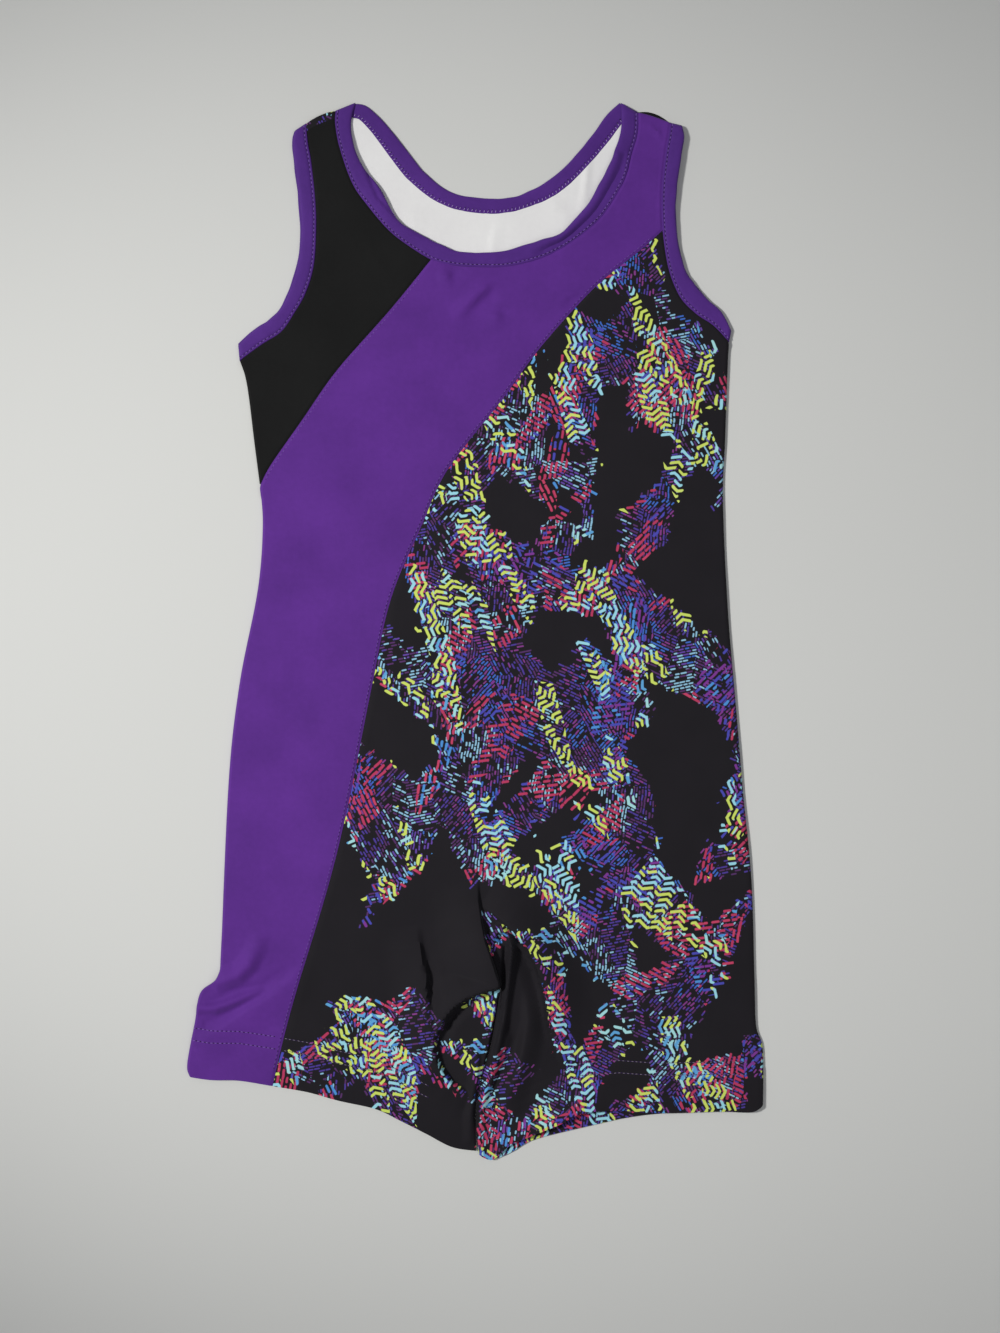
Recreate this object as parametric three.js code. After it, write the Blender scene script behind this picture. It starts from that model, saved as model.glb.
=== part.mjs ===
import * as THREE from "three";

// A child's sleeveless gymnastics leotard with short legs, laid flat on its back. Millimetres.
// X runs to the viewer's right, Y towards the neck, Z up; the underside rests on Z = 0.

// Cloth and seams
const wall = 1.2; // one layer of knit, as a wall
const layerGap = 0.3; // air between the back and the front that lies on it
const seamGap = 0.3; // between neighbouring pieces
const frontTop = 2 * wall + layerGap; // outer face of the front where it lies flat
const sideRoll = wall + layerGap; // how far in from the side the front begins to turn down
const backInset = 2.4; // the back's side edges lie this far inside the front's, which turn down round them
const bindingHeight = 1.6; // binding folded round a cloth edge
const underarmPeep = 1.0; // the back binding shows this far outside the front's
const strapTopRise = { yoke: 1.3, band: 1.6, backLeft: 1.5, backRight: 2.8 }; // the shoulder ends are rounded up by this

// Bindings: a row per section, the stitched edge first and the free edge after it.
const neckFrontRows = [
  // stitchX, stitchY, freeX, freeY
  [-76.3, 285.5, -65.5, 289.8],
  [-76.4, 277, -68.2, 278],
  [-73.5, 263, -66, 265.5],
  [-67, 245, -60.5, 252.8],
  [-59.5, 234, -51.5, 241.6],
  [-48.5, 220.8, -42.8, 226],
  [-38.7, 212.6, -33, 218.9],
  [-24, 203.6, -20, 212.3],
  [-11.6, 200.4, -9.5, 208.2],
  [2.2, 199.4, 2.5, 207.1],
  [18.7, 199.9, 17, 208.2],
  [36.3, 204.3, 33, 213.2],
  [50, 211, 46.5, 217.5],
  [62, 219.8, 55, 225.6],
  [71, 229, 63.4, 236.5],
  [81.5, 246.7, 72.8, 253.8],
  [85.5, 261, 77, 264.3],
  [88.4, 270, 79.2, 271.5],
  [89.4, 277, 80.3, 279],
  [89.4, 284.6, 80.3, 289.6],
];
const neckBackRows = [
  // stitchX, stitchY, freeX, freeY
  [-69.6, 282.4, -67, 289.6],
  [-64.2, 281.4, -60.6, 288.7],
  [-58.5, 276, -53, 282.4],
  [-52.3, 268, -46.2, 274.6],
  [-45.9, 259.3, -39.3, 266.3],
  [-39, 250.4, -31.9, 256.4],
  [-31, 242.8, -25.5, 249.8],
  [-22, 236.2, -17.8, 243.6],
  [-11.6, 231.8, -9.3, 239.8],
  [-2, 229.9, -0.5, 238.1],
  [9, 229, 9, 237.2],
  [20, 230.1, 18.3, 237.9],
  [29.7, 232.9, 26.6, 240],
  [43.5, 239, 39, 246.4],
  [57.2, 250.5, 51.5, 256.6],
  [71, 265.9, 64.4, 272.3],
  [78, 275, 71.6, 282.4],
  [83.4, 282.4, 79.6, 289.8],
];
const armLeftRows = [
  // stitchX, stitchY, freeX, freeY
  [-93, 278.3, -98.6, 274.6],
  [-91.8, 267, -99.7, 267],
  [-90, 257, -98.7, 257.6],
  [-87.7, 236, -96.2, 237],
  [-87.4, 218, -95.2, 219],
  [-88.8, 199.4, -96.9, 201.5],
  [-93.2, 185.1, -101, 188],
  [-98.8, 175, -106.2, 177],
  [-106.2, 164.2, -112.8, 170],
  [-117, 157.2, -120.6, 164.8],
  [-129.2, 148.3, -130, 156.6],
];
const armRightRows = [
  // stitchX, stitchY, freeX, freeY
  [107.6, 278.6, 113.6, 277],
  [106.3, 271, 114.8, 271],
  [104.7, 261.5, 113.2, 260.4],
  [102.8, 243, 110.8, 243],
  [102.9, 225, 110.3, 226],
  [104.5, 209, 112.5, 208.5],
  [107.5, 195, 116, 197],
  [113.3, 182.3, 120.5, 190.2],
  [122.1, 173.5, 128, 181.6],
  [131, 167.5, 136, 174],
  [139.5, 158.5, 140.8, 164.5],
];

// Seams and sides, from the top down: x, y
const yokeSeam = [[-24, 203.6], [-47.3, 175.2], [-75.9, 142.7], [-94.6, 116], [-112, 91], [-118.2, 79]];
const bandSeam = [
  [103, 219.5], [90.8, 208.7], [66, 188.4], [37, 156.5], [15.4, 127.3], [-14.9, 88.3], [-29.7, 56.4],
  [-46.2, 16.8], [-56.7, -31.6], [-69.3, -94.3], [-80.1, -139], [-96.3, -192.6], [-104.5, -222], [-111, -250],
];
const sideLeftUpper = [[-129.2, 148.3], [-125.4, 135], [-121.3, 103], [-118.2, 79]];
const sideLeftLower = [
  [-118.2, 79], [-116.7, 57], [-119.5, 22], [-129.3, -28], [-135.4, -82], [-139.5, -171], [-141.5, -190],
  [-151, -199], [-154, -215], [-158.2, -238], [-156.8, -245],
];
const sideRight = [
  [139.5, 158.5], [139, 146], [137.5, 103], [136.4, 70], [139.2, 9.6], [143.6, -42.6], [147.4, -88.3],
  [152.1, -138], [153.7, -191], [154.6, -217], [158.3, -230], [158.3, -260.5],
];
// Between the legs: the middle of the print down to the crotch, then each leg's inner edge down to its hem.
const crotchY = -148;
const printMiddle = [[102, 219.5], [98, 196], [91, 150], [80, 100], [56, 30], [30, -40], [9, -110], [2, crotchY]];
const backMiddle = [[9, 228.85], [4, 100], [2, 0], [2, crotchY]];
const innerLeft = [[2, crotchY], [4.5, -166], [10.8, -184], [13.3, -195], [11.4, -205], [8, -226], [3, -246], [-0.6, -264], [0, -285.5]];
const innerRight = [[2, crotchY], [5.6, -166], [12.2, -184], [14.8, -195], [13, -205], [9.6, -226], [4.6, -246], [0.8, -264], [2.2, -287.5]];

// Hems and shoulders from left to right: x, y
const hemLeft = [[-156.8, -245], [-145, -246.7], [-130, -247], [-111, -250], [-92, -253.3], [-75, -258], [-54.5, -262.6], [-41, -269], [-27, -276], [-12.7, -283.3], [0, -285.5]];
const hemRight = [[2.2, -287.5], [5.5, -289.6], [10.5, -290], [20, -282], [31, -277], [47, -270.3], [58, -264.8], [79, -263.2], [101, -264.8], [134, -264], [152, -264.3], [158.3, -260.5]];
const hemRightBack = [[2.2, -287.5], [5.5, -290], [10.5, -290.6], [20.4, -286.6], [31, -280.4], [47, -276], [69, -271], [82.5, -268], [101, -265.6], [134, -264], [152, -264.3], [158.3, -260.5]];

// Folds: crest points (x, y, height over the flat cloth), and how far the fold falls off to the left
// and to the right of someone walking along the crest.
const folds = [
  // flap edge at the left of the opening between the thighs, steep on its right
  { crest: [[1, -136, 0], [1.5, -148, 2.4], [4, -166, 4.8], [9.5, -184, 5.4], [11.5, -193, 5]], left: 3.5, right: 30 },
  // the flap's lower edge, falling steeply to the hollow under it
  { crest: [[11.5, -193, 5], [3, -196, 5], [-7, -201, 4.8], [-15, -209, 4.2], [-22, -224, 3.2], [-20.5, -240, 2.4], [-9, -250, 0]], left: 4, right: 24 },
  // the arch of the right leg's front, steep on its inner side
  { crest: [[3, -150, 0], [19, -160, 3.4], [32, -173, 4.2], [41, -192, 4.2], [45, -214, 3.2], [49, -238, 0]], left: 30, right: 5 },
  // rolled fold inside the arch
  { crest: [[12, -158, 0], [17, -166, 2.6], [19.5, -174, 2.8], [18.5, -190, 2.4], [16.5, -215, 1.6], [10, -245, 0]], left: 7, right: 4 },
  // creases across the left thigh
  { crest: [[-143, -190, 1.6], [-129, -186, 2], [-124, -172, 0]], left: 14, right: 8 },
  { crest: [[-152, -208, 2.2], [-128, -203, 2.6], [-106, -196, 0]], left: 8, right: 9 },
  { crest: [[-155, -226, 1.4], [-128, -216, 1.4], [-104, -210, 0]], left: 9, right: 8 },
  // the front neckline standing a little off the back
  { crest: [[-66, 252, 0], [-35, 214, 0.9], [2, 203, 1.4], [45, 212, 1.2], [80, 252, 0]], left: 12, right: 34 },
];
// Bunched inner-thigh layers under the folds lift them all: an oval mound.
const mound = { x: 11, y: -192, halfWidth: 50, halfLength: 66, height: 3.2 };
const crotchPad = { halfWidth: 24, halfLength: 33, clearance: 0.5, rings: 4, spokes: 22 };

const sideRollOver = 8; // length over which the roll begins below the armhole
const samplesPerPoint = 10; // of a smooth line, between two points of its table
const levelSamples = 80; // between two stations, for spacing the rows
const bandTilt = 0.36; // the band's rows of points slope by this much, to meet both its edges
const rollSteps = [
  // how far in from the side, and how far below the flat cloth
  [0, frontTop],
  [0, sideRoll],
  [0.29 * sideRoll, 0.29 * sideRoll],
  [sideRoll, 0],
];
const plainStep = sideRoll / 3; // spacing of the same columns where an edge isn't rolled
const strapTopRows = 3; // rows over which a strap's rounded end fades out
const hemFollowRows = 5; // rows over which the cloth comes to follow its hem

// Rows of points: the level (y, or y + bandTilt * x on the band) on each edge, then the longest step down to the next.
const yokeStations = [[278.3, 285.4, 9], [225, 225, 6], [148, 148, 16], [83, 83]];
const yokeRollBelow = 141;
const bandLevel = ([x, y]) => y + bandTilt * x;
const bandCorner = bandLevel(yokeSeam[0]) - 0.1; // just under the corner where the yoke seam meets the neck
const bandStations = [
  [bandLevel(neckFrontRows[neckFrontRows.length - 1]), bandLevel(armRightRows[0]), 9],
  [235, 235, 4.5],
  [bandCorner, bandCorner, 12],
  [20, 20, 17],
  [bandLevel([-139, -171]), bandLevel([-85, -155]), 8],
  [bandLevel(sideLeftLower[sideLeftLower.length - 1]), bandLevel(bandSeam[bandSeam.length - 1])],
];
const bandRollBelow = 72;
const printStations = [
  [216, 216, 216, 216, 6],
  [157, 157, 157, 157, 22],
  [-125, -125, -125, -125, 7],
  [crotchY, crotchY, crotchY, crotchY, 6],
  [-215, -225, -225, -215, 9],
  [-250, -285.5, -287.5, -260.5],
];
const printRollBelow = 150;
// Columns crowd together towards the folds at the crotch, as shares of the width from the middle.
const printColumnsLeft = [0, 0.05, 0.13, 0.24, 0.38, 0.64, 1];
const printColumnsRight = [0, 0.05, 0.11, 0.17, 0.23, 0.29, 0.42, 0.68, 1];
const neckLevel = backMiddle[0][1];
const backStations = [
  [278.3, 282.3, 282.3, 278.6, 6],
  [neckLevel + 0.8, neckLevel + 0.8, neckLevel + 0.8, neckLevel + 0.8, 30],
  [neckLevel, neckLevel, neckLevel, neckLevel, 7],
  [147, 147, 147, 147, 16],
  [crotchY, crotchY, crotchY, crotchY, 10],
  [-245, -284.5, -287.5, -260.5],
];
const yokeColumns = 3;
const bandColumns = 4;
const backColumns = 2;

function smooth(s) {
  const t = Math.min(1, Math.max(0, s));
  return t * t * (3 - 2 * t);
}

// Nearest point of a crest: distance, height there and the side the point is on.
function nearestOnCrest(crest, x, y) {
  let best = { distance: Infinity, height: 0, side: 1 };
  for (let i = 0; i < crest.length - 1; i++) {
    const [ax, ay, ah] = crest[i];
    const [bx, by, bh] = crest[i + 1];
    const dx = bx - ax;
    const dy = by - ay;
    const t = Math.min(1, Math.max(0, ((x - ax) * dx + (y - ay) * dy) / (dx * dx + dy * dy)));
    const distance = Math.hypot(x - ax - t * dx, y - ay - t * dy);
    if (distance < best.distance) {
      best = { distance, height: ah + t * (bh - ah), side: dx * (y - ay) - dy * (x - ax) };
    }
  }
  return best;
}

function moundHeight(x, y) {
  const r = ((x - mound.x) / mound.halfWidth) ** 2 + ((y - mound.y) / mound.halfLength) ** 2;
  return r >= 1 ? 0 : mound.height * (1 - r) ** 2;
}

// Height of the front over its flat level.
function foldHeight(x, y) {
  let ridge = 0;
  for (const fold of folds) {
    const near = nearestOnCrest(fold.crest, x, y);
    const width = near.side > 0 ? fold.left : fold.right;
    ridge = Math.max(ridge, near.height * smooth(1 - near.distance / width));
  }
  return ridge + moundHeight(x, y);
}

// A smooth line through the points of a table, moved sideways by inset: positive to the left of its travel.
function smoothLine(points, inset) {
  const curve = new THREE.SplineCurve(points.map(([x, y]) => new THREE.Vector2(x, y)));
  const count = (points.length - 1) * samplesPerPoint;
  const line = [];
  for (let i = 0; i <= count; i++) {
    const p = curve.getPoint(i / count);
    const d = curve.getTangent(i / count);
    line.push([p.x - d.y * inset, p.y + d.x * inset]);
  }
  return line;
}

function chain(...lines) {
  return lines.flat();
}

const stitchEdge = (rows) => rows.map(([x, y]) => [x, y]);

// The point of an edge, walked from the top, where y + tilt * x first falls to the level.
function edgeAt(edge, level, tilt) {
  const levelOf = ([x, y]) => y + tilt * x;
  for (let i = 0; i < edge.length - 1; i++) {
    const a = levelOf(edge[i]);
    const b = levelOf(edge[i + 1]);
    if (b <= level && a > b) {
      const t = Math.min(1, Math.max(0, (a - level) / (a - b)));
      return [edge[i][0] + t * (edge[i + 1][0] - edge[i][0]), edge[i][1] + t * (edge[i + 1][1] - edge[i][1])];
    }
  }
  return edge[edge.length - 1];
}

// How far a hem lies above the straight line between its ends, at a share of its width.
function sagOfLine(points, u) {
  if (!points) return 0;
  const [x0, y0] = points[0];
  const [x1, y1] = points[points.length - 1];
  const x = x0 + u * (x1 - x0);
  const i = Math.min(points.length - 2, Math.max(0, points.findIndex(([px]) => px > x) - 1));
  const t = (x - points[i][0]) / (points[i + 1][0] - points[i][0]);
  return u >= 1 ? 0 : points[i][1] + t * (points[i + 1][1] - points[i][1]) - (y0 + u * (y1 - y0));
}

// Levels of the rows on each of several edges. A station gives its level on every edge, then the longest step
// that a row may take along any of them down to the next station.
function rowLevels(edges, tilt, stations) {
  const rows = [];
  for (let i = 0; i < stations.length - 1; i++) {
    const step = stations[i][edges.length];
    const levelsAt = (q) => edges.map((_, e) => stations[i][e] + q * (stations[i + 1][e] - stations[i][e]));
    const walked = [0];
    for (let k = 1; k <= levelSamples; k++) {
      const before = levelsAt((k - 1) / levelSamples);
      const after = levelsAt(k / levelSamples);
      const steps = edges.map((edge, e) => {
        const [ax, ay] = edgeAt(edge, before[e], tilt);
        const [bx, by] = edgeAt(edge, after[e], tilt);
        return Math.hypot(bx - ax, by - ay);
      });
      walked.push(walked[k - 1] + Math.max(...steps));
    }
    const count = Math.ceil(walked[levelSamples] / step);
    for (let row = 0; row < count; row++) {
      const target = (walked[levelSamples] * row) / count;
      const k = Math.max(1, walked.findIndex((w) => w >= target));
      const q = (k - 1 + (target - walked[k - 1]) / (walked[k] - walked[k - 1])) / levelSamples;
      rows.push(levelsAt(q));
    }
  }
  rows.push(stations[stations.length - 1].slice(0, edges.length));
  return rows;
}

// Rows of outer-face points of one patch of cloth between a left and a right edge, at pairs of levels.
// roll: which end turns down round the side, and below which y. topRise: how far the first row's middle is
// rounded up. hem: the line that the last row follows.
function patchRows({ left, right, levels, columns, tilt = 0, roll = null, topRise = 0, hem = null, height }) {
  return levels.map(([levelL, levelR], row) => {
    const a = edgeAt(left, levelL, tilt);
    const b = edgeAt(right, levelR, tilt);
    let points = columns.map((u) => [u, 0]);
    if (roll) {
      const length = Math.hypot(b[0] - a[0], b[1] - a[1]);
      const onSide = smooth((roll.below - (roll.side === "left" ? a : b)[1]) / sideRollOver);
      const scale = Math.min(1, length / (2 * sideRoll)) / length;
      const rolled = rollSteps.map(([inward, drop], k) => [
        (k * plainStep + (inward - k * plainStep) * onSide) * scale,
        drop * onSide,
      ]);
      const rest = rolled[rolled.length - 1][0];
      points = [...rolled, ...columns.slice(1).map((u) => [rest + (1 - rest) * u, 0])];
      if (roll.side === "right") points = points.reverse().map(([u, drop]) => [1 - u, drop]);
    }
    const crown = topRise * Math.max(0, 1 - row / strapTopRows);
    const follow = Math.max(0, 1 - (levels.length - 1 - row) / hemFollowRows) ** 1.5;
    return points.map(([u, drop]) => {
      const x = a[0] + u * (b[0] - a[0]);
      const y = a[1] + u * (b[1] - a[1]) + crown * 4 * u * (1 - u) + follow * sagOfLine(hem, u);
      return new THREE.Vector3(x, y, height(x, y) - drop);
    });
  });
}

// A closed wall of cloth under the outer face given by patches of rows. Points that patches share are joined.
function clothGeometry(patches) {
  const points = [];
  const known = new Map();
  const faces = [];
  const indexOf = (p) => {
    const key = [p.x, p.y, p.z].map((c) => Math.round(c * 500)).join();
    if (!known.has(key)) {
      known.set(key, points.length);
      points.push(p);
    }
    return known.get(key);
  };
  for (const rows of patches) {
    const grid = rows.map((row) => row.map(indexOf));
    for (let r = 0; r < grid.length - 1; r++) {
      for (let c = 0; c < grid[r].length - 1; c++) {
        const [a, b, d, e] = [grid[r][c], grid[r][c + 1], grid[r + 1][c], grid[r + 1][c + 1]];
        for (const face of [[a, d, e], [a, e, b]]) {
          if (new Set(face).size === 3) faces.push(face);
        }
      }
    }
  }
  const normals = points.map(() => new THREE.Vector3());
  for (const [a, b, c] of faces) {
    const n = points[b].clone().sub(points[a]).cross(points[c].clone().sub(points[a]));
    for (const i of [a, b, c]) normals[i].add(n);
  }
  const vertices = [];
  points.forEach((p) => vertices.push(p.x, p.y, p.z));
  points.forEach((p, i) => {
    const inner = p.clone().addScaledVector(normals[i].normalize(), -wall);
    vertices.push(inner.x, inner.y, Math.max(0, inner.z));
  });
  const under = points.length;
  const directed = new Set(faces.flatMap(([a, b, c]) => [`${a}_${b}`, `${b}_${c}`, `${c}_${a}`]));
  const indices = [];
  for (const [a, b, c] of faces) {
    indices.push(a, b, c, under + a, under + c, under + b);
    for (const [p, q] of [[a, b], [b, c], [c, a]]) {
      if (!directed.has(`${q}_${p}`)) indices.push(p, under + p, under + q, p, under + q, q);
    }
  }
  const geometry = new THREE.BufferGeometry();
  geometry.setAttribute("position", new THREE.Float32BufferAttribute(vertices, 3));
  geometry.setIndex(indices);
  return geometry;
}

// A flattened roll of binding between its stitched edge and its free edge.
function bindingGeometry(rows, sections, bottom, thickness, lift) {
  const inset = seamGap / 2;
  const across = [
    // share of the width from the stitched edge, share of the thickness
    [0, 0], [1, 0], [1, 0.55], [0.86, 0.95], [0.5, 1], [0.1, 0.95], [0, 0.7],
  ];
  const stitchCurve = new THREE.SplineCurve(rows.map(([x, y]) => new THREE.Vector2(x, y)));
  const freeCurve = new THREE.SplineCurve(rows.map(([, , x, y]) => new THREE.Vector2(x, y)));
  const vertices = [];
  const indices = [];
  const ring = across.length;
  for (let s = 0; s <= sections; s++) {
    const stitch = stitchCurve.getPoint(s / sections);
    const free = freeCurve.getPoint(s / sections);
    stitch.add(free.clone().sub(stitch).setLength(inset));
    for (const [u, v] of across) {
      const p = stitch.clone().lerp(free, u);
      vertices.push(p.x, p.y, bottom + (lift ? foldHeight(p.x, p.y) : 0) + v * thickness);
    }
  }
  const freeIsLeft = rows[1][2] - rows[1][0] < 0 === rows[0][1] > rows[1][1];
  const quad = (a, b, c, d) => (freeIsLeft ? indices.push(a, c, b, a, d, c) : indices.push(a, b, c, a, c, d));
  for (let s = 0; s < sections; s++) {
    for (let k = 0; k < ring; k++) {
      const n = (k + 1) % ring;
      quad(s * ring + k, s * ring + n, (s + 1) * ring + n, (s + 1) * ring + k);
    }
  }
  for (let k = 1; k < ring - 1; k++) {
    const last = sections * ring;
    if (freeIsLeft) indices.push(0, k, k + 1, last, last + k + 1, last + k);
    else indices.push(0, k + 1, k, last, last + k, last + k + 1);
  }
  const geometry = new THREE.BufferGeometry();
  geometry.setAttribute("position", new THREE.Float32BufferAttribute(vertices, 3));
  geometry.setIndex(indices);
  return geometry;
}

// Rounded solid of the bunched layers: flat below, under the mound above.
function padGeometry() {
  const bottom = wall + layerGap;
  const { halfWidth, halfLength, clearance, rings, spokes } = crotchPad;
  const vertices = [mound.x, mound.y, bottom, mound.x, mound.y, bottom + moundHeight(mound.x, mound.y) - clearance];
  const indices = [];
  for (let r = 1; r <= rings; r++) {
    for (let s = 0; s < spokes; s++) {
      const angle = (s / spokes) * 2 * Math.PI;
      const x = mound.x + ((halfWidth * r) / rings) * Math.cos(angle);
      const y = mound.y + ((halfLength * r) / rings) * Math.sin(angle);
      vertices.push(x, y, bottom, x, y, bottom + moundHeight(x, y) - clearance);
    }
  }
  const at = (r, s, top) => (r === 0 ? 0 : 2 * (1 + (r - 1) * spokes + (s % spokes))) + top;
  for (let s = 0; s < spokes; s++) {
    indices.push(at(0, s, 1), at(1, s, 1), at(1, s + 1, 1), at(0, s, 0), at(1, s + 1, 0), at(1, s, 0));
    for (let r = 1; r < rings; r++) {
      indices.push(at(r, s, 1), at(r + 1, s, 1), at(r + 1, s + 1, 1), at(r, s, 1), at(r + 1, s + 1, 1), at(r, s + 1, 1));
      indices.push(at(r, s, 0), at(r + 1, s + 1, 0), at(r + 1, s, 0), at(r, s, 0), at(r, s + 1, 0), at(r + 1, s + 1, 0));
    }
    indices.push(at(rings, s, 0), at(rings, s + 1, 0), at(rings, s + 1, 1));
    indices.push(at(rings, s, 0), at(rings, s + 1, 1), at(rings, s, 1));
  }
  const geometry = new THREE.BufferGeometry();
  geometry.setAttribute("position", new THREE.Float32BufferAttribute(vertices, 3));
  geometry.setIndex(indices);
  return geometry;
}

const evenly = (count) => Array.from({ length: count + 1 }, (_, i) => i / count);
const frontHeight = (x, y) => frontTop + foldHeight(x, y);
const half = seamGap / 2;
const neckCorner = neckFrontRows.findIndex(([x]) => x === yokeSeam[0][0]);
const neckLeft = stitchEdge(neckFrontRows.slice(0, neckCorner + 1));
const neckRight = stitchEdge(neckFrontRows.slice(neckCorner)).reverse();
const armRightLine = smoothLine(stitchEdge(armRightRows), -half);
const seamTop = bandSeam[0][1];
const hemSeam = hemLeft.findIndex(([x]) => x === bandSeam[bandSeam.length - 1][0]); // where the band seam meets the hem

const yokeEdges = [
  chain(smoothLine(stitchEdge(armLeftRows), half), smoothLine(sideLeftUpper, half)),
  chain(smoothLine(neckLeft, -half), smoothLine(yokeSeam, -half)),
];
const yoke = patchRows({
  left: yokeEdges[0],
  right: yokeEdges[1],
  levels: rowLevels(yokeEdges, 0, yokeStations),
  columns: evenly(yokeColumns),
  roll: { side: "left", below: yokeRollBelow },
  topRise: strapTopRise.yoke,
  height: frontHeight,
});

const bandEdges = [
  chain(smoothLine(neckRight, seamGap), smoothLine(yokeSeam, half), smoothLine(sideLeftLower, half)),
  chain(armRightLine.filter(([, y]) => y > seamTop), smoothLine(bandSeam, -half)),
];
const band = patchRows({
  left: bandEdges[0],
  right: bandEdges[1],
  levels: rowLevels(bandEdges, bandTilt, bandStations),
  columns: evenly(bandColumns),
  tilt: bandTilt,
  roll: { side: "left", below: bandRollBelow },
  topRise: strapTopRise.band,
  hem: hemLeft.slice(0, hemSeam + 1),
  height: frontHeight,
});

const printMiddleLine = smoothLine(printMiddle, 0);
const printEdges = [
  smoothLine(bandSeam, half),
  chain(printMiddleLine, smoothLine(innerLeft, 0)),
  chain(printMiddleLine, smoothLine(innerRight, 0)),
  chain(armRightLine.filter(([, y]) => y < seamTop), smoothLine(sideRight, -half)),
];
const printLevels = rowLevels(printEdges, 0, printStations);
const frontPrint = [
  patchRows({
    left: printEdges[0],
    right: printEdges[1],
    levels: printLevels.map(([l, m]) => [l, m]),
    columns: printColumnsLeft.map((u) => 1 - u).reverse(),
    hem: hemLeft.slice(hemSeam),
    height: frontHeight,
  }),
  patchRows({
    left: printEdges[2],
    right: printEdges[3],
    levels: printLevels.map(([, , m, r]) => [m, r]),
    columns: printColumnsRight.map((u) => 1 - u).reverse(),
    roll: { side: "right", below: printRollBelow },
    hem: hemRight,
    height: frontHeight,
  }),
];

const neckLow = neckBackRows.findIndex(([, y]) => y === Math.min(...neckBackRows.map(([, low]) => low)));
const aboveMiddle = ([, y]) => y > neckLevel + seamGap;
const backMiddleLine = smoothLine(backMiddle, 0);
const backEdges = [
  chain(
    smoothLine(stitchEdge(armLeftRows), half),
    smoothLine([...sideLeftUpper.slice(0, -1), ...sideLeftLower], backInset),
  ),
  chain(
    smoothLine(stitchEdge(neckBackRows.slice(0, neckLow + 1)), -half).filter(aboveMiddle),
    backMiddleLine,
    smoothLine(innerLeft, -half),
  ),
  chain(
    smoothLine(stitchEdge(neckBackRows.slice(neckLow)).reverse(), half).filter(aboveMiddle),
    backMiddleLine,
    smoothLine(innerRight, half),
  ),
  chain(armRightLine, smoothLine(sideRight, -backInset)),
];
const backLevels = rowLevels(backEdges, 0, backStations);
const backPanel = [0, 2].map((e) =>
  patchRows({
    left: backEdges[e],
    right: backEdges[e + 1],
    levels: backLevels.map((levels) => [levels[e], levels[e + 1]]),
    columns: evenly(backColumns),
    topRise: e ? strapTopRise.backRight : strapTopRise.backLeft,
    hem: e ? hemRightBack : hemLeft,
    height: () => wall,
  }),
);

const purple = () => new THREE.MeshStandardMaterial({ color: 0x5b2e89, roughness: 0.75 });
const black = () => new THREE.MeshStandardMaterial({ color: 0x222222, roughness: 0.8 });
const print = () => new THREE.MeshStandardMaterial({ color: 0x2a2440, roughness: 0.75 });

const widened = (rows, by) =>
  rows.map(([sx, sy, fx, fy]) => {
    const width = Math.hypot(fx - sx, fy - sy);
    return [sx, sy, fx + ((fx - sx) * by) / width, fy + ((fy - sy) * by) / width];
  });
const frontBinding = (rows, sections) => bindingGeometry(rows, sections, wall + layerGap, bindingHeight, true);
const backBinding = (rows, sections) => bindingGeometry(rows, sections, 0, wall, false);

const leotard = new THREE.Group();
leotard.name = "leotard";
function add(name, geometry, material) {
  const mesh = new THREE.Mesh(geometry, material);
  mesh.name = name;
  leotard.add(mesh);
}
add("back_panel", clothGeometry(backPanel), print());
add("front_yoke", clothGeometry([yoke]), black());
add("front_band", clothGeometry([band]), purple());
add("front_print", clothGeometry(frontPrint), print());
add("crotch_layers", padGeometry(), print());
add("neck_binding_front", frontBinding(neckFrontRows, 40), purple());
add("neck_binding_back", backBinding(neckBackRows, 30), purple());
add("arm_binding_left_front", frontBinding(armLeftRows, 26), purple());
add("arm_binding_left_back", backBinding(widened(armLeftRows, underarmPeep), 26), purple());
add("arm_binding_right_front", frontBinding(armRightRows, 26), purple());
add("arm_binding_right_back", backBinding(armRightRows, 26), purple());

export default leotard;
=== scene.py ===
import math

import bpy
import numpy as np
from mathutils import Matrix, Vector


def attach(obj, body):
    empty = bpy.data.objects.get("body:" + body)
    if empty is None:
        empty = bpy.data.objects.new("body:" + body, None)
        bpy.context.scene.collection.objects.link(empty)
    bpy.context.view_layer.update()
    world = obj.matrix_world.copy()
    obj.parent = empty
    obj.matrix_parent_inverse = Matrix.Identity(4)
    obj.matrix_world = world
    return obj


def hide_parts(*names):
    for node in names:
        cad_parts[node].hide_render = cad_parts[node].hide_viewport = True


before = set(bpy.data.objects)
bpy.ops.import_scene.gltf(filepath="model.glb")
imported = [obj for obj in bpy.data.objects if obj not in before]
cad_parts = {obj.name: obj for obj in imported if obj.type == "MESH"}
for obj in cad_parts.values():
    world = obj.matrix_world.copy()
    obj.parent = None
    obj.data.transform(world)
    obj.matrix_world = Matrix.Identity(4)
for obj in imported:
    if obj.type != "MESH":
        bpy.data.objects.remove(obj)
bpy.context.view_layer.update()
mm = 0.001
rng = np.random.default_rng(11)
for thing in bpy.context.selected_objects:
    thing.select_set(False)
print("frame loaded")

# shader sums


def operator(operation, turned=False):
    def apply(self, other):
        terms = (other, self) if turned else (self, other)
        return self.finish.math(operation, *terms)

    return apply


class Value:
    # a socket that can be used in sums: each operator adds a Math node
    def __init__(self, finish, socket):
        self.finish = finish
        self.socket = socket

    __add__, __radd__ = operator("ADD"), operator("ADD", True)
    __sub__, __rsub__ = operator("SUBTRACT"), operator("SUBTRACT", True)
    __mul__, __rmul__ = operator("MULTIPLY"), operator("MULTIPLY", True)
    __truediv__, __rtruediv__ = operator("DIVIDE"), operator("DIVIDE", True)
    __lt__, __gt__ = operator("LESS_THAN"), operator("GREATER_THAN")


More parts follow.
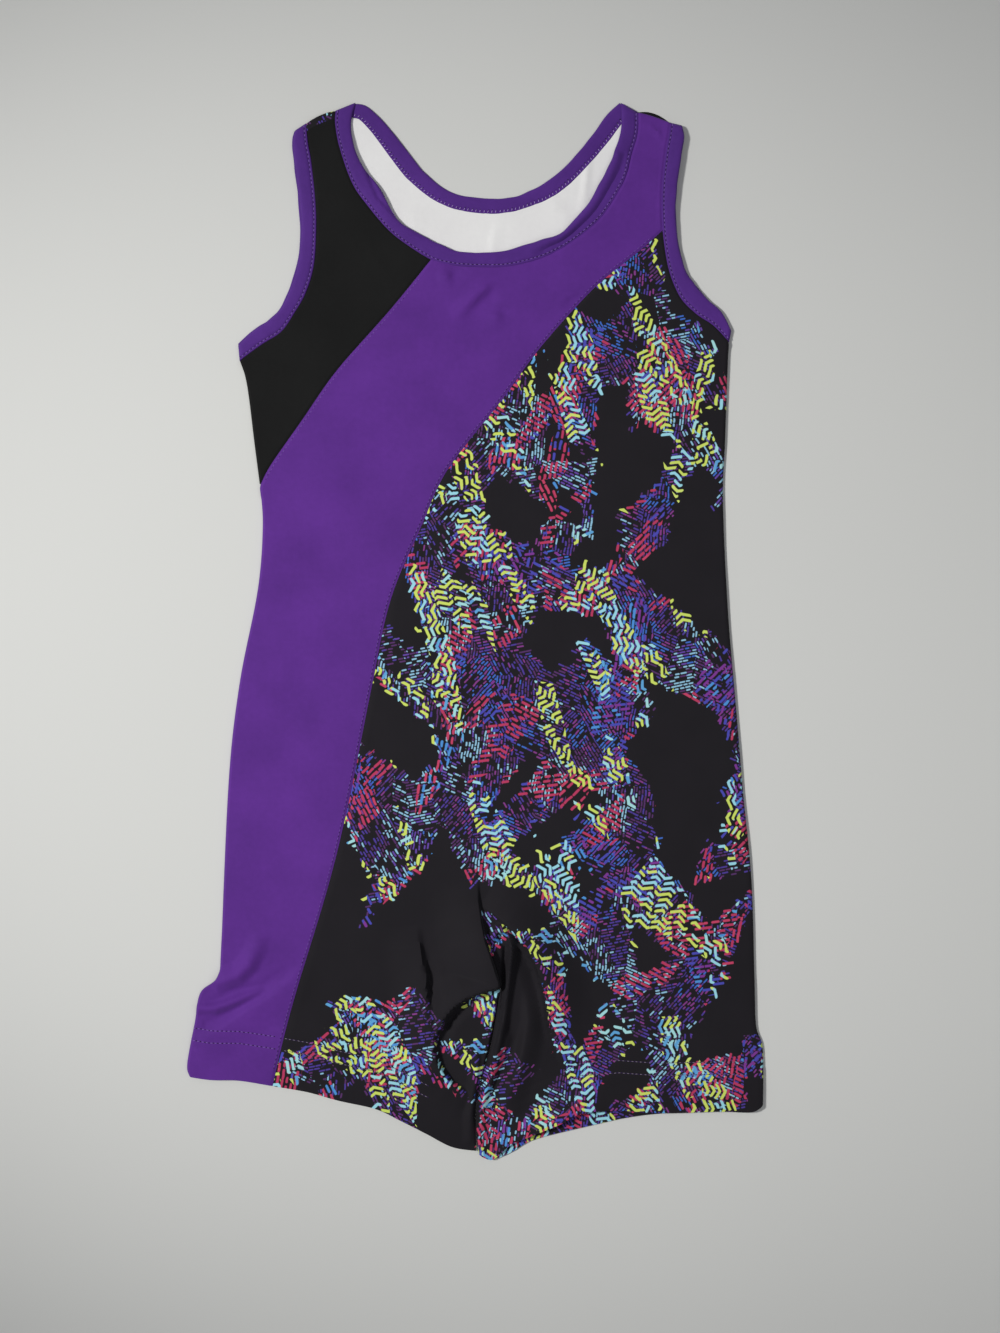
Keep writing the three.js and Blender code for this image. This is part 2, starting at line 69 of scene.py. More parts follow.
class Finish:
    # one material, with short ways to add nodes
    def __init__(self, name):
        self.material = bpy.data.materials.new(name)
        self.material.use_nodes = True
        self.tree = self.material.node_tree
        self.shader = self.tree.nodes["Principled BSDF"]

    def link(self, value, socket):
        if isinstance(value, Value):
            self.tree.links.new(value.socket, socket)
        else:
            socket.default_value = value

    def node(self, kind, settings=None, values=None, output=0):
        made = self.tree.nodes.new(kind)
        for name, value in (settings or {}).items():
            if name == "stops":
                ramp = made.color_ramp
                while len(ramp.elements) < len(value):
                    ramp.elements.new(0.5)
                for element, (place, colour) in zip(ramp.elements, value):
                    element.position = place
                    element.color = (*colour, 1)
            elif name == "steps":
                made.color_ramp.interpolation = value
            else:
                setattr(made, name, value)
        for key, value in (values or {}).items():
            self.link(value, made.inputs[key])
        return Value(self, made.outputs[output])

    def math(self, operation, *terms):
        return self.node("ShaderNodeMath", {"operation": operation}, dict(enumerate(terms)))

    def floor(self, value):
        return self.math("FLOOR", value)

    def fract(self, value):
        return self.math("FRACT", value)

    def clamp(self, value):
        return self.math("MINIMUM", self.math("MAXIMUM", value, 0.0), 1.0)

    def vector(self, x, y, z=0.0):
        return self.node("ShaderNodeCombineXYZ", None, {0: x, 1: y, 2: z})

    def parts(self, vector):
        split = self.node("ShaderNodeSeparateXYZ", None, {0: vector}).socket.node
        return [Value(self, out) for out in split.outputs]

    def mix(self, factor, a, b):
        values = {0: factor, 6: colour4(a), 7: colour4(b)}
        return self.node("ShaderNodeMix", {"data_type": "RGBA"}, values, 2)

    def noise(self, vector, scale, detail=2.0, rough=0.5):
        values = {"Vector": vector, "Scale": scale, "Detail": detail, "Roughness": rough}
        return self.node("ShaderNodeTexNoise", None, values)

    def bump(self, height, strength, distance):
        values = {"Strength": strength, "Distance": distance, "Height": height}
        return self.node("ShaderNodeBump", None, values)

    def set(self, **sockets):
        names = {"colour": "Base Color", "rough": "Roughness", "normal": "Normal", "sheen": "Sheen Weight",
                 "sheenRough": "Sheen Roughness", "specular": "Specular IOR Level"}
        for name, value in sockets.items():
            value = value if isinstance(value, float) else colour4(value)
            self.link(value, self.shader.inputs[names[name]])
        return self.material


def colour4(value):
    if isinstance(value, Value):
        return value
    return (*value, 1)


def screen(red, green, blue):
    # a colour in screen values, from 0 to 255, as scene light
    def light(c):
        c = c / 255
        return c / 12.92 if c <= 0.04045 else ((c + 0.055) / 1.055) ** 2.4

    return tuple(light(c) for c in (red, green, blue))


# cloth finishes

knit = {
    "walePitch": 0.62,      # mm between the knit's columns
    "coursePitch": 0.5,     # mm between its rows
    "sway": 0.8,            # how far the rows swing with the columns
    "loops": 0.3,           # share of the loops in the relief
    "fuzz": 1.4,            # share of the fibres in it
    "relief": 0.00006,      # m
    "strength": 0.55,
    "mottleSize": 38,       # mm
    "mottle": 1.6,          # how far the colour wanders in soft clouds
    "streak": 0.5,          # and in short streaks
    "sheenRough": 0.5,
    "specular": 0.12,
}
cloths = {
    # colour, its darker places, roughness and sheen
    "purpleCloth": (screen(93, 44, 139), screen(78, 36, 120), 0.72, 0.08),
    "blackCloth": (screen(25, 25, 25), screen(19, 19, 19), 0.85, 0.02),
    "bindingCloth": (screen(84, 43, 132), screen(69, 34, 112), 0.68, 0.10),
    "whiteReverse": (screen(229, 228, 227), screen(219, 217, 217), 0.85, 0.05),
    "printCloth": (screen(29, 26, 31), screen(24, 22, 26), 0.74, 0.04),
}


def cutPlace(finish):
    # millimetres on the cut cloth, from the UV map laid on each piece
    place = finish.node("ShaderNodeUVMap", {"uv_map": "cut"})
    return finish.node("ShaderNodeVectorMath", {"operation": "SCALE"}, {0: place, "Scale": 1000.0})


def knitNormal(finish, place):
    x, y, _ = finish.parts(place)
    wales = finish.math("SINE", x * (2 * math.pi / knit["walePitch"]))
    courses = finish.math("SINE", y * (2 * math.pi / knit["coursePitch"]) + wales * knit["sway"])
    fuzz = finish.noise(place, 1.6, 3.0, 0.7)
    height = wales * knit["loops"] + courses * knit["loops"] + fuzz * knit["fuzz"]
    return finish.bump(height, knit["strength"], knit["relief"])


def knitFinish(finish, place, colour, rough, sheen):
    return finish.set(colour=colour, rough=rough, sheen=sheen, sheenRough=knit["sheenRough"],
                      specular=knit["specular"], normal=knitNormal(finish, place))


def plainCloth(name):
    light, dark, rough, sheen = cloths[name]
    finish = Finish(name)
    place = cutPlace(finish)
    cloud = finish.noise(place, 1 / knit["mottleSize"], 3.0, 0.55)
    streak = finish.noise(place, 0.35, 2.0, 0.6)
    tone = (cloud - 0.5) * knit["mottle"] + (streak - 0.5) * knit["streak"] + 0.5
    return knitFinish(finish, place, finish.mix(finish.clamp(tone), dark, light), rough, sheen)


# The printed cloth: a made-up scatter of short dashes and chevrons, in angular islands on near black.
islands = {
    # two sets of stretched, turned cells, in mm; a cell is printed or left black
    "cells": [{"size": (34, 64), "turn": 0.55, "seed": 2.4, "filled": 0.40},
              {"size": (22, 58), "turn": -0.62, "seed": 7.9, "filled": 0.38}],
    "ragged": 2.6,          # how far the dashes wander over an island's edge
    "quiet": {"x": 10, "y": -193, "reach": 62, "less": 0.30},   # fewer islands where the folds lie
}
strokes = {
    "rowShift": 13.0,       # how far, in strokes, one row may be shifted from the next
    "shortest": 0.16,       # half a stroke at its shortest, as a share of its length
    "longer": 0.28,         # how much longer the half may be
    "crisp": 3.2,           # how fast a stroke's edge fades, per mm
    "kink": 0.55,           # from one bend of a chevron to the next, as a share of its length
    "wobble": 2.2,          # mm that the rows wander
}
dashLayers = [
    # patch: size of a patch across and along, turn of the patches, seed; dash: row pitch, length, thickness
    {"patch": (15, 24), "turn": 0.5, "seed": 3.1, "pitch": 1.6, "length": 3.4, "thick": 0.85, "bend": 0.0,
     "filled": 0.93, "density": 0.72, "lean": 0.2,
     "tints": [(0.0, screen(84, 48, 100)), (0.16, screen(76, 58, 146)), (0.34, screen(128, 58, 132)),
               (0.46, screen(62, 104, 190)), (0.66, screen(98, 68, 158)), (0.80, screen(140, 188, 214))]},
    {"patch": (13, 25), "turn": -0.45, "seed": 8.7, "pitch": 2.6, "length": 6.0, "thick": 1.35, "bend": 0.0,
     "filled": 0.42, "density": 0.80, "lean": -0.5,
     "tints": [(0.0, screen(178, 56, 92)), (0.30, screen(72, 72, 170)), (0.5, screen(120, 54, 142)),
               (0.66, screen(76, 140, 206)), (0.82, screen(190, 64, 98))]},
    {"patch": (12, 38), "turn": 0.35, "seed": 5.3, "pitch": 3.2, "length": 8.8, "thick": 1.7, "bend": 0.5,
     "filled": 0.36, "density": 0.86, "lean": 0.9,
     "tints": [(0.0, screen(198, 214, 100)), (0.3, screen(150, 208, 222)), (0.56, screen(202, 218, 112)),
               (0.74, screen(92, 158, 208)), (0.88, screen(160, 212, 214))]},
]


def cells(finish, x, y, size, turn, seed):
    # three chances for each cell of a stretched, turned Voronoi
    px = (x * math.cos(turn) + y * math.sin(turn)) / size[0] + seed
    py = (y * math.cos(turn) - x * math.sin(turn)) / size[1] + seed * 1.7
    settings = {"voronoi_dimensions": "2D", "feature": "F1", "distance": "EUCLIDEAN"}
    values = {"Vector": finish.vector(px, py), "Scale": 1.0}
    return finish.parts(finish.node("ShaderNodeTexVoronoi", settings, values, "Color"))


def printed(finish, x, y):
    # 1 on the islands
    ragged = finish.noise(finish.vector(x, y), 0.3, 2.0)
    x = x + (ragged - 0.5) * islands["ragged"]
    quiet = islands["quiet"]
    dx = (x - quiet["x"]) / quiet["reach"]
    dy = (y - quiet["y"]) / quiet["reach"]
    less = finish.math("MAXIMUM", 1.0 - (dx * dx + dy * dy), 0.0) * quiet["less"]
    made = None
    for spec in islands["cells"]:
        chance = cells(finish, x, y, spec["size"], spec["turn"], spec["seed"])[1]
        here = chance < spec["filled"] - less
        made = here if made is None else finish.math("MAXIMUM", made, here)
    return made


def dashes(finish, x, y, layer):
    # rows of short strokes; every patch has its own angle, tint and density
    cell = cells(finish, x, y, layer["patch"], layer["turn"], layer["seed"])
    angle = finish.floor(cell[0] * 5.0) * (math.pi / 5) + layer["lean"]
    c = finish.math("COSINE", angle)
    s = finish.math("SINE", angle)
    u = x * c + y * s
    v = y * c - x * s
    if layer["bend"]:
        v = v + finish.math("PINGPONG", u, layer["length"] * strokes["kink"]) * layer["bend"]
    row = finish.floor(v / layer["pitch"])
    rowChance = finish.node("ShaderNodeTexWhiteNoise", {"noise_dimensions": "2D"},
                            {"Vector": finish.vector(row, cell[1] * 97.0)})
    along = u / layer["length"] + rowChance * strokes["rowShift"]
    step = finish.floor(along)
    chance = finish.parts(finish.node("ShaderNodeTexWhiteNoise", {"noise_dimensions": "3D"},
                                      {"Vector": finish.vector(row, step, cell[2] * 53.0)}, "Color"))
    du = finish.math("ABSOLUTE", finish.fract(along) - 0.5) * layer["length"]
    dv = (finish.fract(v / layer["pitch"]) - 0.5) * layer["pitch"]
    reach = (chance[0] * strokes["longer"] + strokes["shortest"]) * layer["length"]
    middleU = (step + 0.5 - rowChance * strokes["rowShift"]) * layer["length"]
    middleV = (row + 0.5) * layer["pitch"]
    if layer["bend"]:
        kinked = finish.math("PINGPONG", middleU, layer["length"] * strokes["kink"])
        middleV = middleV - kinked * layer["bend"]
    island = printed(finish, middleU * c - middleV * s, middleU * s + middleV * c)
    over = finish.math("MAXIMUM", du - reach, 0.0)
    distance = finish.math("SQRT", over * over + dv * dv)
    shape = finish.clamp((layer["thick"] / 2 - distance) * strokes["crisp"] + 0.5)
    thin = finish.noise(finish.vector(x, y), 0.035, 1.0) * 1.3 - 0.65
    mask = shape * island * (chance[1] < thin + layer["density"]) * (cell[1] < layer["filled"])
    drift = finish.noise(finish.vector(x, y, layer["seed"]), 0.02, 1.0)
    tint = finish.fract(cell[2] * 0.35 + drift * 1.6 + chance[2] * 0.38)
    colour = finish.node("ShaderNodeValToRGB", {"stops": layer["tints"], "steps": "CONSTANT"}, {0: tint})
    return mask, colour


def printedCloth(name):
    ground, dark, rough, sheen = cloths[name]
    finish = Finish(name)
    place = cutPlace(finish)
    x, y, _ = finish.parts(place)
    wobble = finish.noise(place, 0.12, 2.0)
    x = x + (wobble - 0.5) * strokes["wobble"]
    colour = finish.mix(finish.noise(place, 0.05, 2.0), dark, ground)
    for layer in dashLayers:
        mask, tint = dashes(finish, x, y, layer)
        colour = finish.mix(mask, colour, tint)
    return knitFinish(finish, place, colour, rough, sheen)


purpleCloth = plainCloth("purpleCloth")
blackCloth = plainCloth("blackCloth")
bindingCloth = plainCloth("bindingCloth")
whiteReverse = plainCloth("whiteReverse")
printCloth = printedCloth("printCloth")
print("cloth finishes made")

# outline tables, in mm as in the part's source

neckFrontRows = [
    (-76.3, 285.5, -65.5, 289.8), (-76.4, 277, -68.2, 278), (-73.5, 263, -66, 265.5),
    (-67, 245, -60.5, 252.8), (-59.5, 234, -51.5, 241.6), (-48.5, 220.8, -42.8, 226),
    (-38.7, 212.6, -33, 218.9), (-24, 203.6, -20, 212.3), (-11.6, 200.4, -9.5, 208.2),
    (2.2, 199.4, 2.5, 207.1), (18.7, 199.9, 17, 208.2), (36.3, 204.3, 33, 213.2), (50, 211, 46.5, 217.5),
    (62, 219.8, 55, 225.6), (71, 229, 63.4, 236.5), (81.5, 246.7, 72.8, 253.8), (85.5, 261, 77, 264.3),
    (88.4, 270, 79.2, 271.5), (89.4, 277, 80.3, 279), (89.4, 284.6, 80.3, 289.6),
]
neckBackRows = [
    (-69.6, 282.4, -67, 289.6), (-64.2, 281.4, -60.6, 288.7), (-58.5, 276, -53, 282.4),
    (-52.3, 268, -46.2, 274.6), (-45.9, 259.3, -39.3, 266.3), (-39, 250.4, -31.9, 256.4),
    (-31, 242.8, -25.5, 249.8), (-22, 236.2, -17.8, 243.6), (-11.6, 231.8, -9.3, 239.8),
    (-2, 229.9, -0.5, 238.1), (9, 229, 9, 237.2), (20, 230.1, 18.3, 237.9), (29.7, 232.9, 26.6, 240),
    (43.5, 239, 39, 246.4), (57.2, 250.5, 51.5, 256.6), (71, 265.9, 64.4, 272.3), (78, 275, 71.6, 282.4),
    (83.4, 282.4, 79.6, 289.8),
]
armLeftRows = [
    (-93, 278.3, -98.6, 274.6), (-91.8, 267, -99.7, 267), (-90, 257, -98.7, 257.6),
    (-87.7, 236, -96.2, 237), (-87.4, 218, -95.2, 219), (-88.8, 199.4, -96.9, 201.5),
    (-93.2, 185.1, -101, 188), (-98.8, 175, -106.2, 177), (-106.2, 164.2, -112.8, 170),
    (-117, 157.2, -120.6, 164.8), (-129.2, 148.3, -130, 156.6),
]
armRightRows = [
    (107.6, 278.6, 113.6, 277), (106.3, 271, 114.8, 271), (104.7, 261.5, 113.2, 260.4),
    (102.8, 243, 110.8, 243), (102.9, 225, 110.3, 226), (104.5, 209, 112.5, 208.5),
    (107.5, 195, 116, 197), (113.3, 182.3, 120.5, 190.2), (122.1, 173.5, 128, 181.6),
    (131, 167.5, 136, 174), (139.5, 158.5, 140.8, 164.5),
]
yokeSeam = [(-24, 203.6), (-47.3, 175.2), (-75.9, 142.7), (-94.6, 116), (-112, 91), (-118.2, 79)]
bandSeam = [
    (103, 219.5), (90.8, 208.7), (66, 188.4), (37, 156.5), (15.4, 127.3), (-14.9, 88.3), (-29.7, 56.4),
    (-46.2, 16.8), (-56.7, -31.6), (-69.3, -94.3), (-80.1, -139), (-96.3, -192.6), (-104.5, -222),
    (-111, -250),
]
sideLeftUpper = [(-129.2, 148.3), (-125.4, 135), (-121.3, 103), (-118.2, 79)]
sideLeftLower = [
    (-118.2, 79), (-116.7, 57), (-119.5, 22), (-129.3, -28), (-135.4, -82), (-139.5, -171),
    (-141.5, -190), (-151, -199), (-154, -215), (-158.2, -238), (-156.8, -245),
]
sideRight = [
    (139.5, 158.5), (139, 146), (137.5, 103), (136.4, 70), (139.2, 9.6), (143.6, -42.6), (147.4, -88.3),
    (152.1, -138), (153.7, -191), (154.6, -217), (158.3, -230), (158.3, -260.5),
]
crotchY = -148
printMiddle = [(102, 219.5), (98, 196), (91, 150), (80, 100), (56, 30), (30, -40), (9, -110), (2, crotchY)]
backMiddle = [(9, 228.85), (4, 100), (2, 0), (2, crotchY)]
innerLeft = [
    (2, crotchY), (4.9, -166), (11.4, -184), (13.9, -195), (12.1, -205), (8.7, -226), (3.7, -246),
    (0.4, -264), (0.7, -277), (0.6, -285.5),
]
innerRight = [
    (2, crotchY), (5.2, -166), (11.7, -184), (14.2, -195), (12.4, -205), (9, -226), (4.1, -246),
    (0.9, -264), (1.1, -277), (2.2, -287.5),
]
hemLeft = [
    (-156.8, -245), (-145, -246.7), (-130, -247), (-111, -250), (-92, -253.3), (-75, -258),
    (-54.5, -262.6), (-41, -269), (-27, -276), (-12.7, -283.3), (0.6, -285.5),
]
hemRight = [
    (2.2, -287.5), (5.5, -289.6), (10.5, -290), (20, -282), (31, -277), (47, -270.3), (58, -264.8),
    (79, -263.2), (101, -264.8), (134, -264), (152, -264.3), (158.3, -260.5),
]
hemRightBack = [
    (2.2, -287.5), (5.5, -290), (10.5, -290.6), (20.4, -286.6), (31, -280.4), (47, -276), (69, -271),
    (82.5, -268), (101, -265.6), (134, -264), (152, -264.3), (158.3, -260.5),
]

cloth = {
    "thick": 0.75,          # one layer of knit
    "frontTop": 2.5,        # outer face of the front where it lies flat
    "roll": 1.5,            # radius at which the front turns down round the side
    "rollSteps": 7,
    "backInset": 1.9,
    "seamGap": 0.16,
    "seamDip": 0.42,        # depth of the groove that a seam makes
    "seamDipWidth": 1.7,
    "undulation": 0.35,     # slow rise and fall of the cloth as it lies
    "undulationSize": 55,
    "backRise": 0.12,       # the back panel off the table, and its own slow waves
    "backWave": 0.12,
    "backRipple": 1.3,
    "lowest": 1.85,         # the back panel, under the front
    "padRise": 1.1,         # the layers on it at the crotch
    "foldEnd": 2.5,         # how far a fold runs out past its last point
    "offTable": 0.05,       # least height of an outer face
}
hem = {
    "upperRow": 27.3, "lowerRow": 20.6,     # the two rows of stitches, over the edge
    "turning": 21.5,        # height of the turned cloth
    "extra": 0.28,          # how much it adds
    "step": 1.2,            # and over what width it ends
    "groove": 0.16, "grooveWidth": 0.8,     # the dent under each row
}
slowWaves = [(0.3, 1.0, 0.4), (1.4, 1.37, 2.1), (2.5, 0.83, 4.0), (0.9, 0.61, 1.3)]  # angle, length, shift

# Folds: crest points with heights over the flat cloth, and the width of the slope to the left and to the
# right of someone walking along the crest.
folds = [
    # edge of the flap at the left of the opening, then its lower edge over the hollow
    {"left": 1.7, "right": 28, "crest": [
        (1, -136, 0), (1.6, -148, 2.4), (3.4, -160, 4.6), (5.4, -170, 5.8), (9, -180, 6.4),
        (12.2, -190, 6.5), (13.2, -194.5, 6.2),
    ]},
    {"left": 1.6, "right": 18, "crest": [
        (13.2, -194.5, 6.2), (4, -197.2, 6.3), (-4.4, -200.6, 6.2), (-11, -205.2, 6.2), (-16, -211, 6.2),
        (-19.2, -218, 5.8), (-22, -226, 4.6), (-22.5, -234, 2.6),
    ]},
    # the left leg's front, ending in a steep crease beside the flap
    {"left": 1.8, "right": 22, "crest": [
        (-31, -162, 0), (-30, -174, 2.6), (-27, -188, 3.5), (-26, -202, 3.9), (-25.4, -213, 4.2),
        (-24, -226, 4.3), (-20, -239, 3.8), (-13, -248, 2.8), (-4, -254.5, 1.4), (0, -258, 0),
    ]},
    {"left": 2.6, "right": 5, "crest": [
        (0, -224, 0), (1.4, -236, 1.8), (0.6, -246, 2.2), (-1.4, -256, 2.0), (-2.4, -266, 1.6),
        (-2.6, -280, 0.8),
    ]},
    # the arch of the right leg's front
    {"left": 26, "right": 2.1, "crest": [
        (3.3, -150, 0), (9.9, -154.6, 2.3), (17.6, -160.6, 4.0), (23.9, -167.2, 5.0), (30.6, -174.2, 5.5),
        (35, -182.6, 5.7), (38, -191, 5.7), (40, -200.5, 5.4), (41.6, -209.8, 4.9), (43, -217.5, 4.0),
        (46, -229, 2.4), (50, -241, 0),
    ]},
    # rolled fold inside the arch, hooked at its top
    {"left": 4.5, "right": 2.0, "crest": [
        (9.3, -170, 1.0), (10.8, -166.4, 3.0), (14.9, -164, 4.3), (18.9, -167.8, 4.9), (20.2, -175, 5.0),
        (19, -184, 4.7), (17.6, -196, 4.0), (15.7, -212, 3.4), (12.2, -228, 3.3), (9, -244, 2.5),
        (4.6, -256, 2.1), (3, -266, 1.6), (2.9, -276, 1.2), (3.6, -287, 0.4),
    ]},
    {"left": 11, "right": 5, "crest": [
        (29, -196, 0), (29.5, -214, 2.4), (26, -232, 3.2), (20, -252, 2.2), (13, -272, 0),
    ]},
    # the right leg's front hem, standing off the back's
    {"left": 15, "right": 15, "crest": [
        (15, -285, 0), (31, -277, 2.0), (47, -270.3, 2.9), (60, -264.8, 2.6), (79, -263.2, 1.3),
        (98, -264.8, 0),
    ]},
    # creases across the left thigh
    {"left": 8, "right": 7, "crest": [
        (-142, -193, 1.8), (-137, -191.4, 3.0), (-130, -189, 3.2), (-124, -183, 2.8), (-119.5, -174, 1.4),
        (-117, -164, 0),
    ]},
    {"left": 3.6, "right": 5, "crest": [
        (-152, -207, 1.8), (-142, -206.6, 2.6), (-130, -202.4, 2.2), (-121, -198.6, 1.0), (-116, -196, 0),
    ]},
    {"left": 5, "right": 16, "crest": [
        (-154, -226, 0.6), (-140, -219.5, 1.7), (-124, -208.5, 1.9), (-112, -201.5, 1.8),
        (-100, -192, 1.1), (-92, -182, 0),
    ]},
    # the front neckline standing a little off the back, most at the left strap
    {"left": 12, "right": 34, "crest": [
        (-68, 276, 0.2), (-66, 258, 1.5), (-56, 240, 1.5), (-35, 214, 1.1), (2, 203, 1.4), (45, 212, 1.5),
        (72, 236, 1.1), (82, 262, 0.4),
    ]},
    # the right armhole's edge, lifted off the table
    {"left": 12, "right": 14, "crest": [
        (113, 281, 0.5), (114, 270, 1.5), (112, 250, 1.5), (110.5, 230, 0.9), (112, 208, 0),
    ]},
    # soft creases on the chest and the straps
    {"left": 4.5, "right": 10, "crest": [
        (9.5, 190.5, 0.9), (5.5, 187, 2.1), (0.9, 183.2, 2.0), (-4, 178.5, 1.4), (-10, 172.2, 0.3),
    ]},
    {"left": 4, "right": 9, "crest": [(-19, 198, 1.1), (-15.5, 194, 1.9), (-12.5, 189.5, 0.8)]},
    {"left": 3.4, "right": 8, "crest": [(9.5, 174.5, 0.2), (12.5, 171.5, 0.9), (16, 168.8, 0)]},
    {"left": 6, "right": 4, "crest": [(-70, 232, 0), (-61, 217, 0.7), (-52, 200, 0.7), (-46, 188, 0)]},
    {"left": 1.8, "right": 2.4, "crest": [
        (91, 277.4, 0), (96, 276, 0.9), (100.5, 273, 1.1), (104, 269, 0),
    ]},
]
# Hollows beside the steep edges: the same tables, with depths.
troughs = [
    # along the slit between the legs
    {"left": 1.5, "right": 1.5, "crest": [
        (14.1, -194, -1.2), (12.3, -206, -1.8), (8.9, -226, -1.8), (4, -246, -1.8), (0.7, -264, -1.6),
        (1.0, -282, -1.2),
    ]},
    # the hole inside the hook of the rolled fold
    {"left": 2.0, "right": 2.0, "crest": [(13.2, -167.2, -1.2), (13.8, -169, -2.4), (15, -172, -2.0)]},
    {"left": 1.8, "right": 2.2, "crest": [
        (16.2, -168, 0), (16.6, -173, -1.9), (16, -184, -2.3), (15.2, -196, -1.7), (14.2, -208, 0),
    ]},
    {"left": 6, "right": 1.6, "crest": [
        (-27.5, -170, 0), (-24.6, -188, -1.2), (-23.4, -203, -1.5), (-22.8, -214, -1.7),
        (-21.2, -227, -1.9), (-17.4, -239, -1.7), (-10.5, -248, -1.1), (-2, -254, 0),
    ]},
    {"left": 6, "right": 1.4, "crest": [
        (12.6, -198.6, -1.2), (3.6, -200.8, -1.9), (-4, -204.3, -2.1), (-10, -209, -2.0),
        (-14.4, -214, -1.8), (-16.6, -220, -1.5), (-18.4, -228, -1.0), (-18, -238, 0),
    ]},
    {"left": 1.4, "right": 8, "crest": [
        (7, -160, 0), (14, -164.6, -0.8), (20.6, -171.2, -1.2), (26.8, -178, -1.5), (31.2, -187, -1.6),
        (34, -197, -1.6), (36, -208, -1.4), (37.6, -219, -0.9), (40, -230, 0),
    ]},
    {"left": 7, "right": 4, "crest": [
        (19, -210, 0), (21, -224, -1.6), (18, -238, -1.9), (11.5, -252, -1.4), (6.5, -264, 0),
    ]},
    # the side seam brought to the front at the right hem
    {"left": 1.0, "right": 1.0, "crest": [
        (147, -220, 0), (147.4, -228, -0.5), (148.2, -250, -0.6), (149, -262, -0.6),
    ]},
    {"left": 3.5, "right": 4, "crest": [
        (-146, -204.5, -0.3), (-132, -197.8, -0.7), (-116, -194.6, -0.6), (-101, -184, 0),
    ]},
    {"left": 3.5, "right": 4, "crest": [
        (-148, -215.6, -0.5), (-135, -210, -0.7), (-121, -201.6, -0.5), (-114, -197, 0),
    ]},
    # short creases on the chest, under the neck
    {"left": 9, "right": 4.5, "crest": [
        (12, 187.5, 0), (8, 183.8, -1.1), (3.8, 180.3, -1.1), (-1.5, 175.2, -0.7), (-7, 169.4, 0),
    ]},
    {"left": 8, "right": 3.8, "crest": [(-14.5, 201, 0), (-11.5, 196, -0.9), (-8.5, 191, 0)]},
    {"left": 7, "right": 3.4, "crest": [(12, 177.5, 0), (15.5, 174, -0.6), (19, 171.5, 0)]},
    {"left": 4, "right": 8, "crest": [(47.5, 177.5, 0), (53, 180.5, -0.8), (60, 184.5, 0)]},
]
backFolds = [
    {"left": 4, "right": 2.6, "crest": [(62, 266, 0), (61, 250, 0.7), (59.6, 238, 0.8), (58, 222, 0)]},
    {"left": 5, "right": 3, "crest": [(39, 240, 0), (45, 232, 0.6), (52, 222, 0)]},
    {"left": 5, "right": 6, "crest": [(-30, 236, 0), (-33, 224, 0.45), (-34, 210, 0)]},
    {"left": 6, "right": 4, "crest": [(14, 228, 0), (10, 214, 0.4), (8, 200, 0)]},
]
mound = {"x": 11, "y": -192, "halfWidth": 50, "halfLength": 66, "height": 3.0}
pad = {
    "halfWidth": 24, "halfLength": 33,
    "lift": 0.28,           # its rim over the back panel
    "clearance": 2.7,       # from the front down to its dome
    "least": 0.3,
    "rim": 0.25,            # share of the radius over which the dome comes down
    "reach": 1.3, "fade": 0.3,      # how far round it the front stays up
    "rings": 12, "spokes": 48,
}


def smoothStep(s):
    t = np.clip(s, 0, 1)
    return t * t * (3 - 2 * t)


def crestHeight(fold, x, y):
    nearest = np.full(x.shape, 1e9)
    height = np.zeros(x.shape)
    side = np.zeros(x.shape)
    beyond = np.zeros(x.shape)
    crest = fold["crest"]
    for k, ((ax, ay, ah), (bx, by, bh)) in enumerate(zip(crest, crest[1:])):
        dx, dy = bx - ax, by - ay
        along = ((x - ax) * dx + (y - ay) * dy) / (dx * dx + dy * dy)
        before = -along if k == 0 else 0.0
        after = along - 1 if k == len(crest) - 2 else 0.0
        past = np.maximum(before, after) * math.hypot(dx, dy)
        t = np.clip(along, 0, 1)
        distance = np.hypot(x - ax - t * dx, y - ay - t * dy)
        closer = distance < nearest
        nearest = np.where(closer, distance, nearest)
        height = np.where(closer, ah + t * (bh - ah), height)
        side = np.where(closer, dx * (y - ay) - dy * (x - ax), side)
        beyond = np.where(closer, past, beyond)
    width = np.where(side > 0, fold["left"], fold["right"])
    return height * smoothStep(1 - nearest / width) * smoothStep(1 - beyond / cloth["foldEnd"])


def slowWave(x, y):
    # a few long waves that don't repeat within the garment
    size = cloth["undulationSize"]
    total = np.zeros(x.shape)
    for angle, length, shift in slowWaves:
        total += np.sin((x * math.cos(angle) + y * math.sin(angle)) / size / length * 2 * math.pi + shift)
    return total / len(slowWaves)


def hemLine(x):
    xs, ys = np.array(hemLeft + hemRight).T
    return np.interp(x, xs, ys)


def fromMound(x, y, form):
    # 0 in the middle of the bunched folds, 1 at the form's half width and half length
    return ((x - mound["x"]) / form["halfWidth"]) ** 2 + ((y - mound["y"]) / form["halfLength"]) ** 2


def foldHeight(x, y):
    ridge = np.zeros(x.shape)
    for fold in folds:
        ridge = np.maximum(ridge, crestHeight(fold, x, y))
    hollow = np.zeros(x.shape)
    for trough in troughs:
        hollow = np.minimum(hollow, crestHeight(trough, x, y))
    return ridge + hollow + mound["height"] * np.clip(1 - fromMound(x, y, mound), 0, 1) ** 2


def frontHeight(x, y):
    above = y - hemLine(x)
    turned = hem["extra"] * smoothStep((hem["turning"] - above) / hem["step"] + 0.5)
    for row in (hem["upperRow"], hem["lowerRow"]):
        turned = turned - hem["groove"] * np.exp(-(((above - row) / hem["grooveWidth"]) ** 2))
    z = cloth["frontTop"] + foldHeight(x, y) + cloth["undulation"] * slowWave(x, y) + turned
    onPad = smoothStep((pad["reach"] - fromMound(x, y, pad)) / pad["fade"])
    return np.maximum(z, cloth["lowest"] + cloth["padRise"] * onPad)


